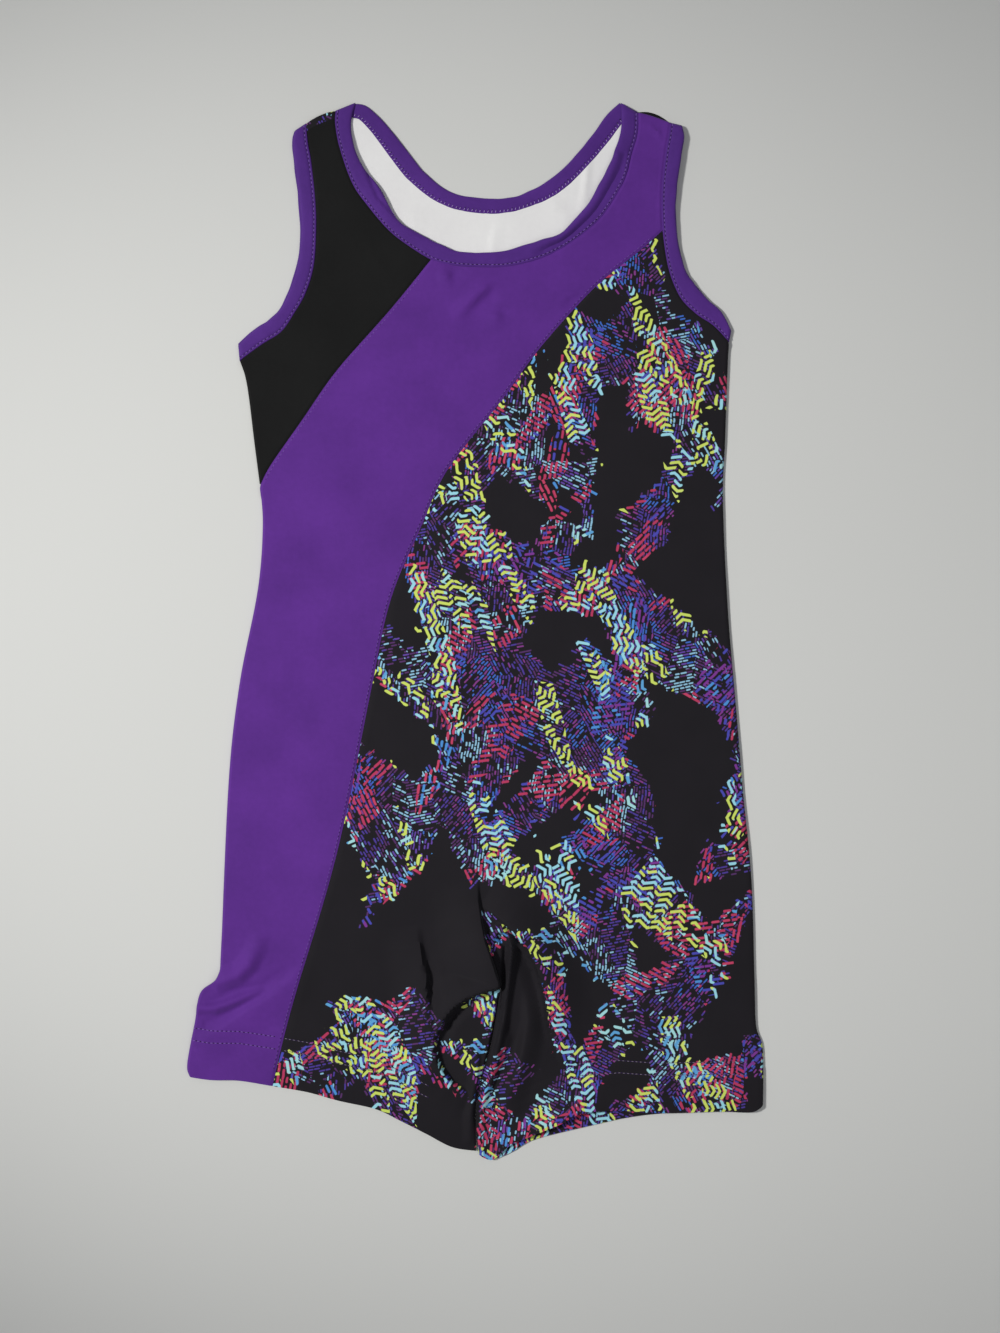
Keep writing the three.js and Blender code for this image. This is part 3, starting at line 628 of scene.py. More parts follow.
def backHeight(x, y):
    raised = sum(crestHeight(fold, x, y) for fold in backFolds)
    wave = slowWave(x * cloth["backRipple"], y * cloth["backRipple"])
    return cloth["thick"] + cloth["backRise"] + cloth["backWave"] * wave + raised


# lines and edges


def smoothLine(points, inset=0.0, per=10):
    # an even Catmull-Rom line through the points, moved sideways: positive to the left of its travel
    points = np.array(points, float)
    count = (len(points) - 1) * per
    place = np.arange(count + 1) / per
    i = np.minimum(place.astype(int), len(points) - 2)
    t = (place - i)[:, None]
    p0, p1 = points[np.maximum(i - 1, 0)], points[i]
    p2, p3 = points[i + 1], points[np.minimum(i + 2, len(points) - 1)]
    v0, v1 = (p2 - p0) / 2, (p3 - p1) / 2
    line = (2 * p1 - 2 * p2 + v0 + v1) * t**3 + (-3 * p1 + 3 * p2 - 2 * v0 - v1) * t**2 + v0 * t + p1
    if inset:
        line = line + inset * leftOf(line[:, :2])
    return line


def leftOf(line):
    d = np.gradient(line, axis=0)
    d /= np.maximum(np.hypot(d[:, 0], d[:, 1]), 1e-9)[:, None]
    return np.stack([-d[:, 1], d[:, 0]], 1)


def edgeAt(edge, levels, tilt):
    # the points of an edge, walked from the top, where y + tilt * x falls to each level
    height = edge[:, 1] + tilt * edge[:, 0]
    found = []
    for level in levels:
        hits = np.nonzero((height[:-1] > level) & (height[1:] <= level))[0]
        if len(hits) == 0:
            found.append(edge[0] if level >= height[0] else edge[-1])
            continue
        i = hits[0]
        t = (height[i] - level) / (height[i] - height[i + 1])
        found.append(edge[i] + t * (edge[i + 1] - edge[i]))
    return np.array(found)


def levelsOf(stations):
    # a station: its level on each edge, then the number of rows down to the next
    rows = []
    for here, after in zip(stations, stations[1:]):
        a, b = np.array(here[:-1], float), np.array(after[: len(here) - 1], float)
        rows += [a + (b - a) * k / here[-1] for k in range(here[-1])]
    rows.append(np.array(stations[-1][: len(stations[0]) - 1], float))
    return np.array(rows)


def levelRow(level, rows):
    # a station at one level on all four edges
    return (level, level, level, level, rows)


def patch(left, right, levels, columns, tilt=0.0, roll=None, hemPoints=None, hemRows=1, dips=(False, False),
          top=0.0, height=frontHeight):
    # rows of outer-face points between two edges; roll: the side that turns down, from which y and how soon
    a = edgeAt(left, levels[:, 0], tilt)
    b = edgeAt(right, levels[:, 1], tilt)
    length = np.hypot(*(b - a).T)
    columns = np.array(columns, float)
    rows = len(a)
    drop = np.zeros((rows, len(columns)))
    share = np.tile(columns, (rows, 1))
    if roll:
        side, below, over = roll
        radius = cloth["roll"]
        onSide = smoothStep((below - (a if side == "left" else b)[:, 1]) / over)[:, None]
        arc = np.linspace(math.pi / 2, 0, cloth["rollSteps"])
        inward = np.concatenate([[0], radius * (1 - np.sin(arc))])
        fall = np.concatenate([[cloth["frontTop"] - cloth["offTable"]], radius * (1 - np.cos(arc))])
        plain = np.linspace(0, radius, len(inward))
        scale = (np.minimum(1, length / (2 * radius)) / length)[:, None]
        near = (plain + (inward - plain) * onSide) * scale
        rest = near[:, -1:]
        away = columns[1:] if side == "left" else 1 - columns[::-1][1:]
        share = np.hstack([near, rest + (1 - rest) * away])
        drop = np.hstack([fall * onSide, np.zeros((rows, len(away)))])
        if side == "right":
            share, drop = 1 - share[:, ::-1], drop[:, ::-1]
    x = a[:, :1] + share * (b - a)[:, :1]
    y = a[:, 1:] + share * (b - a)[:, 1:]
    if hemPoints is not None:
        xs, ys = smoothLine(hemPoints).T
        sag = np.interp(xs[0] + share * (xs[-1] - xs[0]), xs, ys) - (ys[0] + share * (ys[-1] - ys[0]))
        follow = np.clip(1 - (rows - 1 - np.arange(rows)) / hemRows, 0, 1)[:, None] ** 1.5
        y = y + follow * sag
    if top:
        fade = np.clip(1 - (a[0, 1] - a[:, 1]) / strapTop["reach"], 0, 1)[:, None] ** 2
        y = y + top * fade * 4 * share * (1 - share)
    z = height(x, y) - drop
    for end, dipped in enumerate(dips):
        if dipped:
            away = (share if end == 0 else 1 - share) * length[:, None]
            z -= cloth["seamDip"] * smoothStep(1 - away / cloth["seamDipWidth"])
    if top:
        fromTop = np.hypot(x - x[:1], y - y[:1])
        radius = cloth["roll"]
        z -= radius - np.sqrt(np.clip(radius**2 - np.clip(radius - fromTop, 0, radius) ** 2, 0, None))
    return np.stack([x, y, np.maximum(z, cloth["offTable"])], 2)


def weld(patches):
    # joins the patches' shared points; gives points and quads
    everything = np.concatenate([p.reshape(-1, 3) for p in patches])
    keys = np.round(everything * 400).astype(np.int64)
    _, first, inverse = np.unique(keys, axis=0, return_index=True, return_inverse=True)
    inverse = inverse.reshape(-1)
    quads = []
    start = 0
    for p in patches:
        rows, columns = p.shape[:2]
        grid = inverse[start : start + rows * columns].reshape(rows, columns)
        start += rows * columns
        corners = [grid[:-1, :-1], grid[1:, :-1], grid[1:, 1:], grid[:-1, 1:]]
        quads.append(np.stack(corners, 2).reshape(-1, 4))
    return everything[first], np.concatenate(quads)


def newPiece(name, points, faces, materials):
    # an object at the origin, from points in mm
    mesh = bpy.data.meshes.new(name)
    mesh.from_pydata((points * mm).tolist(), [], faces)
    for material in materials:
        mesh.materials.append(material)
    piece = bpy.data.objects.new(name, mesh)
    bpy.context.scene.collection.objects.link(piece)
    return piece


def selectOnly(piece):
    bpy.ops.object.select_all(action="DESELECT")
    bpy.context.view_layer.objects.active = piece
    piece.select_set(True)


def facesOutwards(piece):
    selectOnly(piece)
    bpy.ops.object.mode_set(mode="EDIT")
    bpy.ops.mesh.select_all(action="SELECT")
    bpy.ops.mesh.normals_make_consistent(inside=False)
    bpy.ops.object.mode_set(mode="OBJECT")


def clothPiece(name, patches, materials, shift=None, patchOf=None):
    # a thin closed shell under the outer face; materials are the outer face's, the inner face's and any more
    points, quads = weld(patches)
    faces = []
    for q in quads:
        corners = list(dict.fromkeys(q.tolist()))
        if len(corners) >= 3:
            faces.append(corners)
    normals = np.zeros_like(points)
    for face in faces:
        p = points[face]
        one, other = (p[1] - p[0], p[2] - p[0]) if len(face) == 3 else (p[2] - p[0], p[3] - p[1])
        normals[face] += np.cross(one, other)
    normals /= np.maximum(np.linalg.norm(normals, axis=1), 1e-12)[:, None]
    inner = points - normals * cloth["thick"]
    inner[:, 2] = np.maximum(inner[:, 2], 0.0)
    under = len(points)
    sides = dict.fromkeys((p, q) for face in faces for p, q in zip(face, face[1:] + face[:1]))
    rim = [(p, q) for p, q in sides if (q, p) not in sides]
    everyFace = faces + [[under + i for i in reversed(f)] for f in faces]
    everyFace += [[p, under + p, under + q, q] for p, q in rim]
    kinds = [0] * len(faces) + [1] * len(faces) + [0] * len(rim)
    piece = newPiece(name, np.concatenate([points, inner]), everyFace, materials)
    mesh = piece.data
    flat = np.concatenate([points[:, :2], points[:, :2]])
    centres = np.array([flat[f].mean(0) for f in everyFace])
    offsets = shift(centres) if shift else np.zeros((len(everyFace), 2))
    if patchOf:
        kinds = patchOf(centres, np.array(kinds))
    mesh.polygons.foreach_set("material_index", np.array(kinds, np.int32))
    layUv(mesh, flat * mm, offsets * mm)
    finishMesh(piece)
    area = sum(p.area for p in mesh.polygons) / 2
    print(name, "made,", round(area, 5), "m2 in", len(everyFace), "faces")
    return piece


def layUv(mesh, flat, offsets):
    layer = mesh.uv_layers.new(name="cut")
    corner = np.zeros(len(mesh.loops), np.int32)
    mesh.loops.foreach_get("vertex_index", corner)
    totals = np.zeros(len(mesh.polygons), np.int32)
    mesh.polygons.foreach_get("loop_total", totals)
    owner = np.repeat(np.arange(len(mesh.polygons)), totals)
    layer.data.foreach_set("uv", (flat[corner] + offsets[owner]).astype(np.float32).reshape(-1))


def finishMesh(piece, angle=50):
    piece.data.validate()
    piece.data.update()
    selectOnly(piece)
    bpy.ops.object.shade_smooth_by_angle(angle=math.radians(angle), keep_sharp_edges=True)
    piece.select_set(False)


def spread(count, crowding=0.12):
    # shares from 0 to 1 that crowd together at both ends
    s = np.linspace(0, 1, count + 1)
    return np.clip(s - crowding * np.sin(2 * np.pi * s), 0, 1)


# front panels

half = cloth["seamGap"] / 2


def stitchEdge(rows):
    # a binding's stitched edge, from a table of its rows
    return [row[:2] for row in rows]


neckCorner = [r[0] for r in neckFrontRows].index(yokeSeam[0][0])
neckLeft = stitchEdge(neckFrontRows[: neckCorner + 1])
neckRight = stitchEdge(neckFrontRows[neckCorner:])[::-1]
armRightLine = smoothLine(stitchEdge(armRightRows), -half)
seamTop = bandSeam[0][1]

strapTop = {
    "left": 3.9, "right": 0.6,      # how far the back's cloth comes over the shoulder to the front
    "yoke": 1.3, "band": 0.6, "backLeft": 1.5, "backRight": 4.5,    # how far the strap ends are rounded up
    "reach": 22,
    "cutShift": (-160.0, 40.0),     # from the yoke to the part of the back's cut that shows there
    "leftEdge": [(-93, 278.3), (-88.6, 281.6), (-82.5, 284), (-76.3, 285.4)],
    "rightEdge": [(89, 284.8), (94, 284.2), (99, 283.2), (104, 281), (108, 278.8)],
    "rightFrom": 89, "rightTo": 103,
}


def yokeFaces(centres, kinds):
    x, y = centres.T
    over = y > np.interp(x, *np.array(strapTop["leftEdge"]).T) - strapTop["left"]
    return np.where((kinds == 0) & over, 2, kinds)


def bandFaces(centres, kinds):
    x, y = centres.T
    over = y > np.interp(x, *np.array(strapTop["rightEdge"]).T) - strapTop["right"]
    between = (x > strapTop["rightFrom"]) & (x < strapTop["rightTo"])
    return np.where((kinds == 0) & over & between, 2, kinds)


yokeLeft = np.concatenate([smoothLine(stitchEdge(armLeftRows), half), smoothLine(sideLeftUpper, half)])
yokeRight = np.concatenate([smoothLine(neckLeft, -half), smoothLine(yokeSeam, -half)])
yokeStations = [(278.3, 285.4, 8), (276.5, 283.6, 26), (212, 212, 34), (150, 150, 30), (80.5, 80.5, 0)]
yokePatch = patch(yokeLeft, yokeRight, levelsOf(yokeStations), spread(34), roll=("left", 146, 6),
                  dips=(True, True), top=strapTop["yoke"])
frontYoke = clothPiece("frontYoke", [yokePatch], [blackCloth, blackCloth, printCloth],
                       shift=lambda c: np.full(c.shape, strapTop["cutShift"]), patchOf=yokeFaces)

bandTilt = 0.36     # its rows of points fall towards the right


def bandLevel(x, y):
    return y + bandTilt * x


bandCorner = bandLevel(*yokeSeam[0]) - 0.1
bandTop = np.array([bandLevel(*neckRight[0]), bandLevel(*armRightRows[0][:2])])
bandLeft = np.concatenate([
    smoothLine(neckRight, half), smoothLine(yokeSeam, half), smoothLine(sideLeftLower, half),
])
bandRight = np.concatenate([armRightLine[armRightLine[:, 1] > seamTop], smoothLine(bandSeam, -half)])
bandStations = [
    (*bandTop, 8), (*(bandTop - 1.9), 50),
    (214, 214, 36), (bandCorner, bandCorner, 90), (20, 20, 70),
    (bandLevel(-139, -165), bandLevel(-82, -145), 80), (bandLevel(-156.8, -245), bandLevel(-111, -250), 0),
]
bandPatch = patch(bandLeft, bandRight, levelsOf(bandStations), spread(72), tilt=bandTilt,
                  roll=("left", 75, 5), hemPoints=hemLeft[:4], hemRows=36, dips=(True, True),
                  top=strapTop["band"])
frontBand = clothPiece("frontBand", [bandPatch], [purpleCloth, purpleCloth, printCloth], patchOf=bandFaces)
print("yoke and band made")


def insideOf(polygon, x, y):
    inside = np.zeros(x.shape, bool)
    for (ax, ay), (bx, by) in zip(polygon, polygon[1:] + polygon[:1]):
        crossing = (ay > y) != (by > y)
        inside ^= crossing & (x < (bx - ax) * (y - ay) / (by - ay + 1e-12) + ax)
    return inside


# Places where a deeper layer of the printed cloth shows, with the pattern of another part of the cut.
underLayers = [
    # under the flap
    {"shift": (37, 61), "shape": [
        (14, -196), (4, -199), (-4.4, -202.6), (-11, -207), (-16, -212.6), (-18, -219), (-20.5, -226),
        (-21, -233), (-17, -241), (-10, -249), (-3, -254), (0, -256), (4, -243), (8, -226), (12, -205),
    ]},
    # the flap, turned a little by the fold
    {"shift": (-6, 9), "shape": [
        (2, -149), (4, -163), (9, -180), (13, -194), (4, -198), (-4.4, -201.6), (-11, -206),
        (-16, -211.6), (-19, -219), (-22, -228), (-24.5, -214), (-24.8, -202), (-25.5, -188), (-28, -176),
        (-14, -160),
    ]},
    # inside the arch
    {"shift": (-52, 33), "shape": [
        (3, -151), (9.9, -156), (17, -162), (23, -169), (29.6, -175.6), (33.6, -183.6), (36.6, -192),
        (38.6, -201), (40, -210), (41.6, -219), (44, -229), (36, -240), (24, -252), (14, -262), (3, -262),
        (8, -240), (12, -215), (13.5, -197), (10, -180), (5, -165),
    ]},
    # the back's cloth, brought round to the front at the right hem
    {"shift": (28, -70), "shape": [(147.2, -222), (148.7, -263), (149, -270), (165, -270), (165, -222)]},
]


def printShift(centres):
    x, y = centres.T
    moved = np.zeros((len(x), 2))
    for layer in underLayers:
        moved[insideOf(layer["shape"], x, y)] = layer["shift"]
    return moved


printLeft = smoothLine(bandSeam, half)
middle = smoothLine(printMiddle)
printMidLeft = np.concatenate([middle, smoothLine(innerLeft)])
printMidRight = np.concatenate([middle, smoothLine(innerRight)])
printRight = np.concatenate([armRightLine[armRightLine[:, 1] < seamTop], smoothLine(sideRight, -half)])
printLevels = levelsOf([
    levelRow(218.5, 26), levelRow(157, 56), levelRow(-125, 20), levelRow(crotchY, 88),
    (-215, -225, -225, -215, 56), (-250, -285.5, -287.5, -260.5, 0),
])


def towardsMiddle(count, crowding=1.55):
    # shares from 0 to 1 that crowd together at 0, where the folds are
    return np.linspace(0, 1, count + 1) ** crowding


leftPatch = patch(printLeft, printMidLeft, printLevels[:, :2], 1 - towardsMiddle(70)[::-1],
                  hemPoints=hemLeft[3:], hemRows=34, dips=(True, False))
rightPatch = patch(printMidRight, printRight, printLevels[:, 2:], towardsMiddle(100), roll=("right", 155, 6),
                   hemPoints=hemRight, hemRows=34, dips=(False, True))
frontPrint = clothPiece("frontPrint", [leftPatch, rightPatch], [printCloth, whiteReverse], shift=printShift)
print("print panel made")

# back panel

neckLow = [r[1] for r in neckBackRows].index(min(r[1] for r in neckBackRows))
backMid = smoothLine(backMiddle)
neckLevel = backMiddle[0][1]
upperLeft = smoothLine(stitchEdge(neckBackRows[: neckLow + 1]), -half)
upperRight = smoothLine(stitchEdge(neckBackRows[neckLow:])[::-1], half)
upperLeft = upperLeft[upperLeft[:, 1] > neckLevel + 0.2]
upperRight = upperRight[upperRight[:, 1] > neckLevel + 0.2]
backSeam = 0.03
sideLeft = sideLeftUpper[:-1] + sideLeftLower
backEdges = [
    np.concatenate([smoothLine(stitchEdge(armLeftRows), half), smoothLine(sideLeft, cloth["backInset"])]),
    np.concatenate([upperLeft, backMid, smoothLine(innerLeft, backSeam)]),
    np.concatenate([upperRight, backMid, smoothLine(innerRight, -backSeam)]),
    np.concatenate([armRightLine, smoothLine(sideRight, -cloth["backInset"])]),
]
backLevels = levelsOf([
    (278.3, 282.3, 282.3, 278.6, 40), levelRow(neckLevel + 0.8, 2), levelRow(neckLevel, 36),
    levelRow(147, 60), levelRow(crotchY, 60), (-245, -284.5, -287.5, -260.5, 0),
])
backPatches = [
    patch(backEdges[e], backEdges[e + 1], backLevels[:, e : e + 2], spread(44), hemPoints=line, hemRows=18,
          top=strapTop[side], height=backHeight)
    for e, line, side in ((0, hemLeft, "backLeft"), (2, hemRightBack, "backRight"))
]
backHemXs, backHemYs = np.array(hemLeft + hemRightBack).T
backTurned = {
    # where the face of the cloth comes round to the top
    "hem": hem["turning"] - 1,
    "inseam": 9, "inseamTop": -150, "inseamLine": [(-290, 0), (-195, 14), (-148, 2)],
    "side": 5, "sideTop": 166,
    "shoulderLine": [(-93, 274), (-76, 281), (89, 281), (108, 275)], "strapLeft": -76, "strapRight": 88,
    "cutShift": 211.0,      # keeps its pattern apart from the front's
}


def backFaces(centres, kinds):
    s = backTurned
    x, y = centres.T
    turnedUp = y < np.interp(x, backHemXs, backHemYs) + s["hem"]
    inseam = (np.abs(x - np.interp(y, *np.array(s["inseamLine"]).T)) < s["inseam"]) & (y < s["inseamTop"])
    shoulder = y > np.interp(x, *np.array(s["shoulderLine"]).T)
    shoulder &= (x < s["strapLeft"]) | (x > s["strapRight"])
    leftX, leftY = np.array(sideLeft)[::-1].T
    rightX, rightY = np.array(sideRight)[::-1].T
    side = (x < np.interp(y, leftY, leftX) + s["side"]) | (x > np.interp(y, rightY, rightX) - s["side"])
    side &= y < s["sideTop"]
    kinds = np.where((kinds == 0) & (turnedUp | inseam | side), 1, kinds)
    return np.where(shoulder, 2, kinds)


backPanel = clothPiece("backPanel", backPatches, [whiteReverse, printCloth, blackCloth],
                       shift=lambda c: np.full(c.shape, backTurned["cutShift"]), patchOf=backFaces)
print("back panel made")

# bindings

binding = {
    "sectionLength": 1.4,   # mm from one section of the strip to the next
    "width": 8.4,           # mm, of a typical one
    "cutAcross": 17, "cutUp": 2,    # mm on the cut for the strip's width and height
    "groove": 1.35,         # mm from the stitched edge to the topstitching
    "grooveHeight": 0.78,   # the thread's height, as a share of the strip's
    "pucker": 0.16,         # rise and fall between stitches
    "puckerLength": 5.0,
    "puckerAt": 0.2, "puckerSpread": 0.22,      # where across the strip it is strongest
    "sway": 0.32,           # how unevenly the free edge runs
    "swayLength": 5.5,
    "wall": 0.42,
    "overlap": 0.3,         # how far it covers the edge of the panel
    "endReach": 2.4,        # over which a front run's ends come down
}
bindingProfile = [
    # the folded strip from its lower stitched edge round the free edge and back over the top:
    # share of the width from the stitched edge, share of the height
    (0.02, 0.0), (0.5, 0.0), (0.96, 0.0), (1.0, 0.3), (0.985, 0.6), (0.93, 0.84), (0.86, 0.95),
    (0.76, 1.01), (0.66, 1.03), (0.56, 1.02), (0.46, 1.0), (0.38, 0.98), (0.31, 0.95), (0.25, 0.88),
    (0.2, 0.76), (0.165, 0.62), (0.125, 0.78), (0.07, 0.84), (0.02, 0.7), (0.0, 0.45),
]


def innerProfile(height):
    # the same line moved inwards by the strip's wall, in the section of a typical binding
    size = [binding["width"], height]
    line = np.array(bindingProfile) * size
    moved = line + binding["wall"] * leftOf(line)
    moved[:, 1] = np.clip(moved[:, 1], binding["wall"], None)
    return [tuple(p) for p in moved / size]


wedgeCrease = {
    # a twist at the left of the neckline, where the binding's inside comes up beside its free edge
    "left": 2.4, "right": 0.6, "crest": [
        (-62, 258, 0), (-59.4, 251.6, -0.8), (-56.4, 243.6, -1.1), (-53, 236.8, -1.1), (-49.6, 233.2, -0.9),
        (-44.6, 227.6, -0.6), (-42.6, 225, 0),
    ],
}


def dentDepth(dent, u, p):
    # a hollow or swelling along a stretch of the binding: x where it starts and ends, place across, depth
    x = p[:, 0]
    soft = smoothStep((x - dent["from"]) / dent["fade"]) * smoothStep((dent["to"] - x) / dent["fade"])
    place = math.exp(-(((u - dent["across"]) / dent["width"]) ** 2))
    return dent["rise"] * soft * place * (p[:, 1] < dent["below"])


def evenly(places, lengths, line):
    # the points of a line at these places along it
    return np.stack([np.interp(places, lengths, c) for c in line.T], 1)


def swayOf(noise, along):
    # uneven knots, with a soft line between them
    step = binding["swayLength"]
    knots = np.cumsum(noise.uniform(0.5, 1.5, int(along[-1] / step) + 12) * step)
    wave = np.interp(along, knots - step, noise.uniform(-1, 1, len(knots)))
    return np.convolve(np.pad(wave, 2, mode="edge"), [0.12, 0.23, 0.3, 0.23, 0.12], mode="valid")


def puckerOf(noise, along):
    # up at one knot and a little down at the next
    knots = np.arange(0, along[-1] + 8, binding["puckerLength"] / 2)
    heights = noise.normal(0, 1, len(knots)) * np.where(np.arange(len(knots)) % 2, 1, -0.4)
    return binding["pucker"] * np.interp(along, knots, heights)


def bindingPiece(name, rows, bottom, height, lifted, seed, endDrop=0.0, extraWidth=0.0, dents=()):
    line = smoothLine(rows, per=14)
    stitch, free = line[:, :2], line[:, 2:]
    lengths = np.concatenate([[0], np.cumsum(np.hypot(*np.diff(stitch, axis=0).T))])
    count = int(lengths[-1] / binding["sectionLength"])
    along = np.linspace(0, lengths[-1], count + 1)
    stitch, free = evenly(along, lengths, stitch), evenly(along, lengths, free)
    across = free - stitch
    across = across / np.hypot(*across.T)[:, None]
    noise = np.random.default_rng(seed)
    free = free + across * (binding["sway"] * swayOf(noise, along)[:, None] + extraWidth)
    stitch = stitch - across * binding["overlap"]
    pucker = puckerOf(noise, along)

    def rise(p):
        return foldHeight(p[:, 0], p[:, 1]) if lifted else np.zeros(len(p))

    section = bindingProfile + innerProfile(height)[::-1]
    ring = len(section)
    points = []
    for u, v in section:
        p = stitch + u * (free - stitch)
        z = bottom + v * height + rise(p)
        if v > 0.3:
            near = math.exp(-((u - binding["puckerAt"]) / binding["puckerSpread"]) ** 2)
            z = z + pucker * (0.35 + 0.65 * near)
            for dent in dents:
                z = z + dentDepth(dent, u, p)
            if dents:
                z = z + crestHeight(wedgeCrease, p[:, 0], p[:, 1])
        if endDrop:
            fromEnd = np.minimum(along, along[-1] - along)
            z = z - endDrop * np.clip(1 - fromEnd / binding["endReach"], 0, 1) ** 2 * v
        points.append(np.column_stack([p, np.maximum(z, 0)]))
    points = np.stack(points, 1).reshape(-1, 3)
    faces = []
    for s in range(count):
        for k in range(ring):
            n = (k + 1) % ring
            faces.append([s * ring + k, s * ring + n, (s + 1) * ring + n, (s + 1) * ring + k])
    faces.append(list(range(ring))[::-1])
    faces.append([count * ring + k for k in range(ring)])
    piece = newPiece(name, points, faces, [bindingCloth])
    acrossCut = [u * binding["cutAcross"] + v * binding["cutUp"] for u, v in section]
    flat = np.column_stack([np.repeat(along, ring), np.tile(acrossCut, count + 1)])
    layUv(piece.data, flat * mm, np.zeros((len(faces), 2)))
    facesOutwards(piece)
    finishMesh(piece, 60)
    piece["runLength"] = float(along[-1])
    stitched = stitch + across * binding["groove"]
    top = bottom + height * binding["grooveHeight"] + rise(stitched) + pucker * 0.9
    return piece, np.column_stack([stitched, top])


neckDents = [
    # the binding rolls over on itself at the right of the neckline
    {"from": 30, "to": 88, "fade": 14, "across": 0.34, "width": 0.19, "rise": -2.0, "below": 262},
    {"from": 26, "to": 90, "fade": 16, "across": 0.8, "width": 0.25, "rise": 1.2, "below": 262},
]
# underside, height, whether it lies on the front's folds, and how far its ends come down
frontRun = {"bottom": 1.25, "height": 1.55, "lifted": True, "endDrop": 1.1}
backRun = {"bottom": 0.02, "height": 1.15, "lifted": False}
bindings = {
    "neckBindingFront": {**frontRun, "rows": neckFrontRows, "seed": 21, "dents": neckDents},
    "neckBindingBack": {**backRun, "rows": neckBackRows, "seed": 22, "height": 1.25},
    "armBindingLeftFront": {**frontRun, "rows": armLeftRows, "seed": 23},
    "armBindingLeftBack": {**backRun, "rows": armLeftRows, "seed": 24, "extraWidth": 1.0},
    "armBindingRightFront": {**frontRun, "rows": armRightRows, "seed": 25},
    "armBindingRightBack": {**backRun, "rows": armRightRows, "seed": 26, "extraWidth": 0.2},
}
bindingPieces, stitchLines = {}, {}
for name, spec in bindings.items():
    bindingPieces[name], stitchLines[name] = bindingPiece(name, **spec)
print("bindings made")

# layers under the crotch folds


def crotchPiece():
    # the bunched cloth under the folds: a low dome, its rim on the back panel
    rings = np.arange(pad["rings"] + 1) / pad["rings"]
    spokes = np.arange(pad["spokes"] + 1) / pad["spokes"] * 2 * math.pi
    r, a = np.meshgrid(rings, spokes, indexing="ij")
    x = mound["x"] + pad["halfWidth"] * r * np.cos(a)
    y = mound["y"] + pad["halfLength"] * r * np.sin(a)
    dome = mound["height"] * (1 - (pad["halfWidth"] / mound["halfWidth"] * r) ** 2) ** 2
    rise = np.maximum(dome - pad["clearance"], pad["least"]) * smoothStep((1 - r) / pad["rim"]) ** 0.5
    z = cloth["thick"] + pad["lift"] + rise + cloth["thick"]
    return clothPiece("crotchLayers", [np.stack([x, y, z], 2)], [printCloth, whiteReverse])


crotchLayers = crotchPiece()

# stitching

stitches = {
    "pitch": 2.4, "length": 1.35, "width": 0.42, "height": 0.22,
    "hole": 0.75, "holeWidth": 0.75 / 2.2, "holeHeight": 0.05,      # flat dark dots of painted shade for the needle holes between them
    "uneven": 0.1, "askew": 0.05,       # mm along the row, and radians
    "reach": 0.7,           # mm to each side over which a stitch takes its direction
}
threads = {
    # colour and roughness
    "threadLilac": (screen(130, 94, 178), 0.6),
    "threadPale": (screen(176, 146, 214), 0.6),
    "threadPurple": (screen(124, 84, 172), 0.6),
    "threadGrey": (screen(128, 114, 140), 0.6),
    # painted shade: the dark colour of the flat dots that stand for the shadowed needle holes
    "paintedHoleShade": (screen(40, 18, 66), 0.9),
}


def threadFinish(name):
    light, rough = threads[name]
    finish = Finish(name)
    grain = finish.noise(finish.node("ShaderNodeTexCoord", None, None, "Object"), 2600.0, 2.0)
    colour = finish.mix(grain, tuple(c * 0.75 for c in light), light)
    return finish.set(colour=colour, rough=rough, sheen=0.1, specular=0.3)


thread = {name: threadFinish(name) for name in threads}


def lowestFirst(face):
    # a face turned to start at its lowest number; a quad keeps its diagonal
    return min(face[k:] + face[:k] for k in range(0, len(face), len(face) - 2))


def stitchForm():
    # one stitch, pointed at both ends: 1 long, 2 wide, from -0.6 to 1 high
    bpy.ops.object.select_all(action="DESELECT")
    bpy.ops.mesh.primitive_uv_sphere_add(segments=6, ring_count=5, radius=1.0)
    form = bpy.context.active_object
    bpy.ops.transform.rotate(value=math.pi / 2, orient_axis="Y", center_override=(0, 0, 0))
    bpy.ops.object.transform_apply(location=True, rotation=True, scale=True)
    bpy.ops.transform.resize(value=(0.5, 1.0, 0.8), center_override=(0, 0, 0))
    bpy.ops.transform.translate(value=(0, 0, 0.2))
    bpy.ops.object.transform_apply(location=True, rotation=True, scale=True)
    mesh = form.data
    points = np.array([v.co for v in mesh.vertices])
    # a sphere's points and faces may be numbered in another order each run, so they are sorted by place
    order = np.lexsort(np.round(points, 4).T)
    number = np.argsort(order)
    faces = [number[list(p.vertices)].tolist() for p in mesh.polygons]
    bpy.data.objects.remove(form)
    bpy.data.meshes.remove(mesh)
    return points[order], sorted(lowestFirst(face) for face in faces)


stitchPoints, stitchFaces = stitchForm()


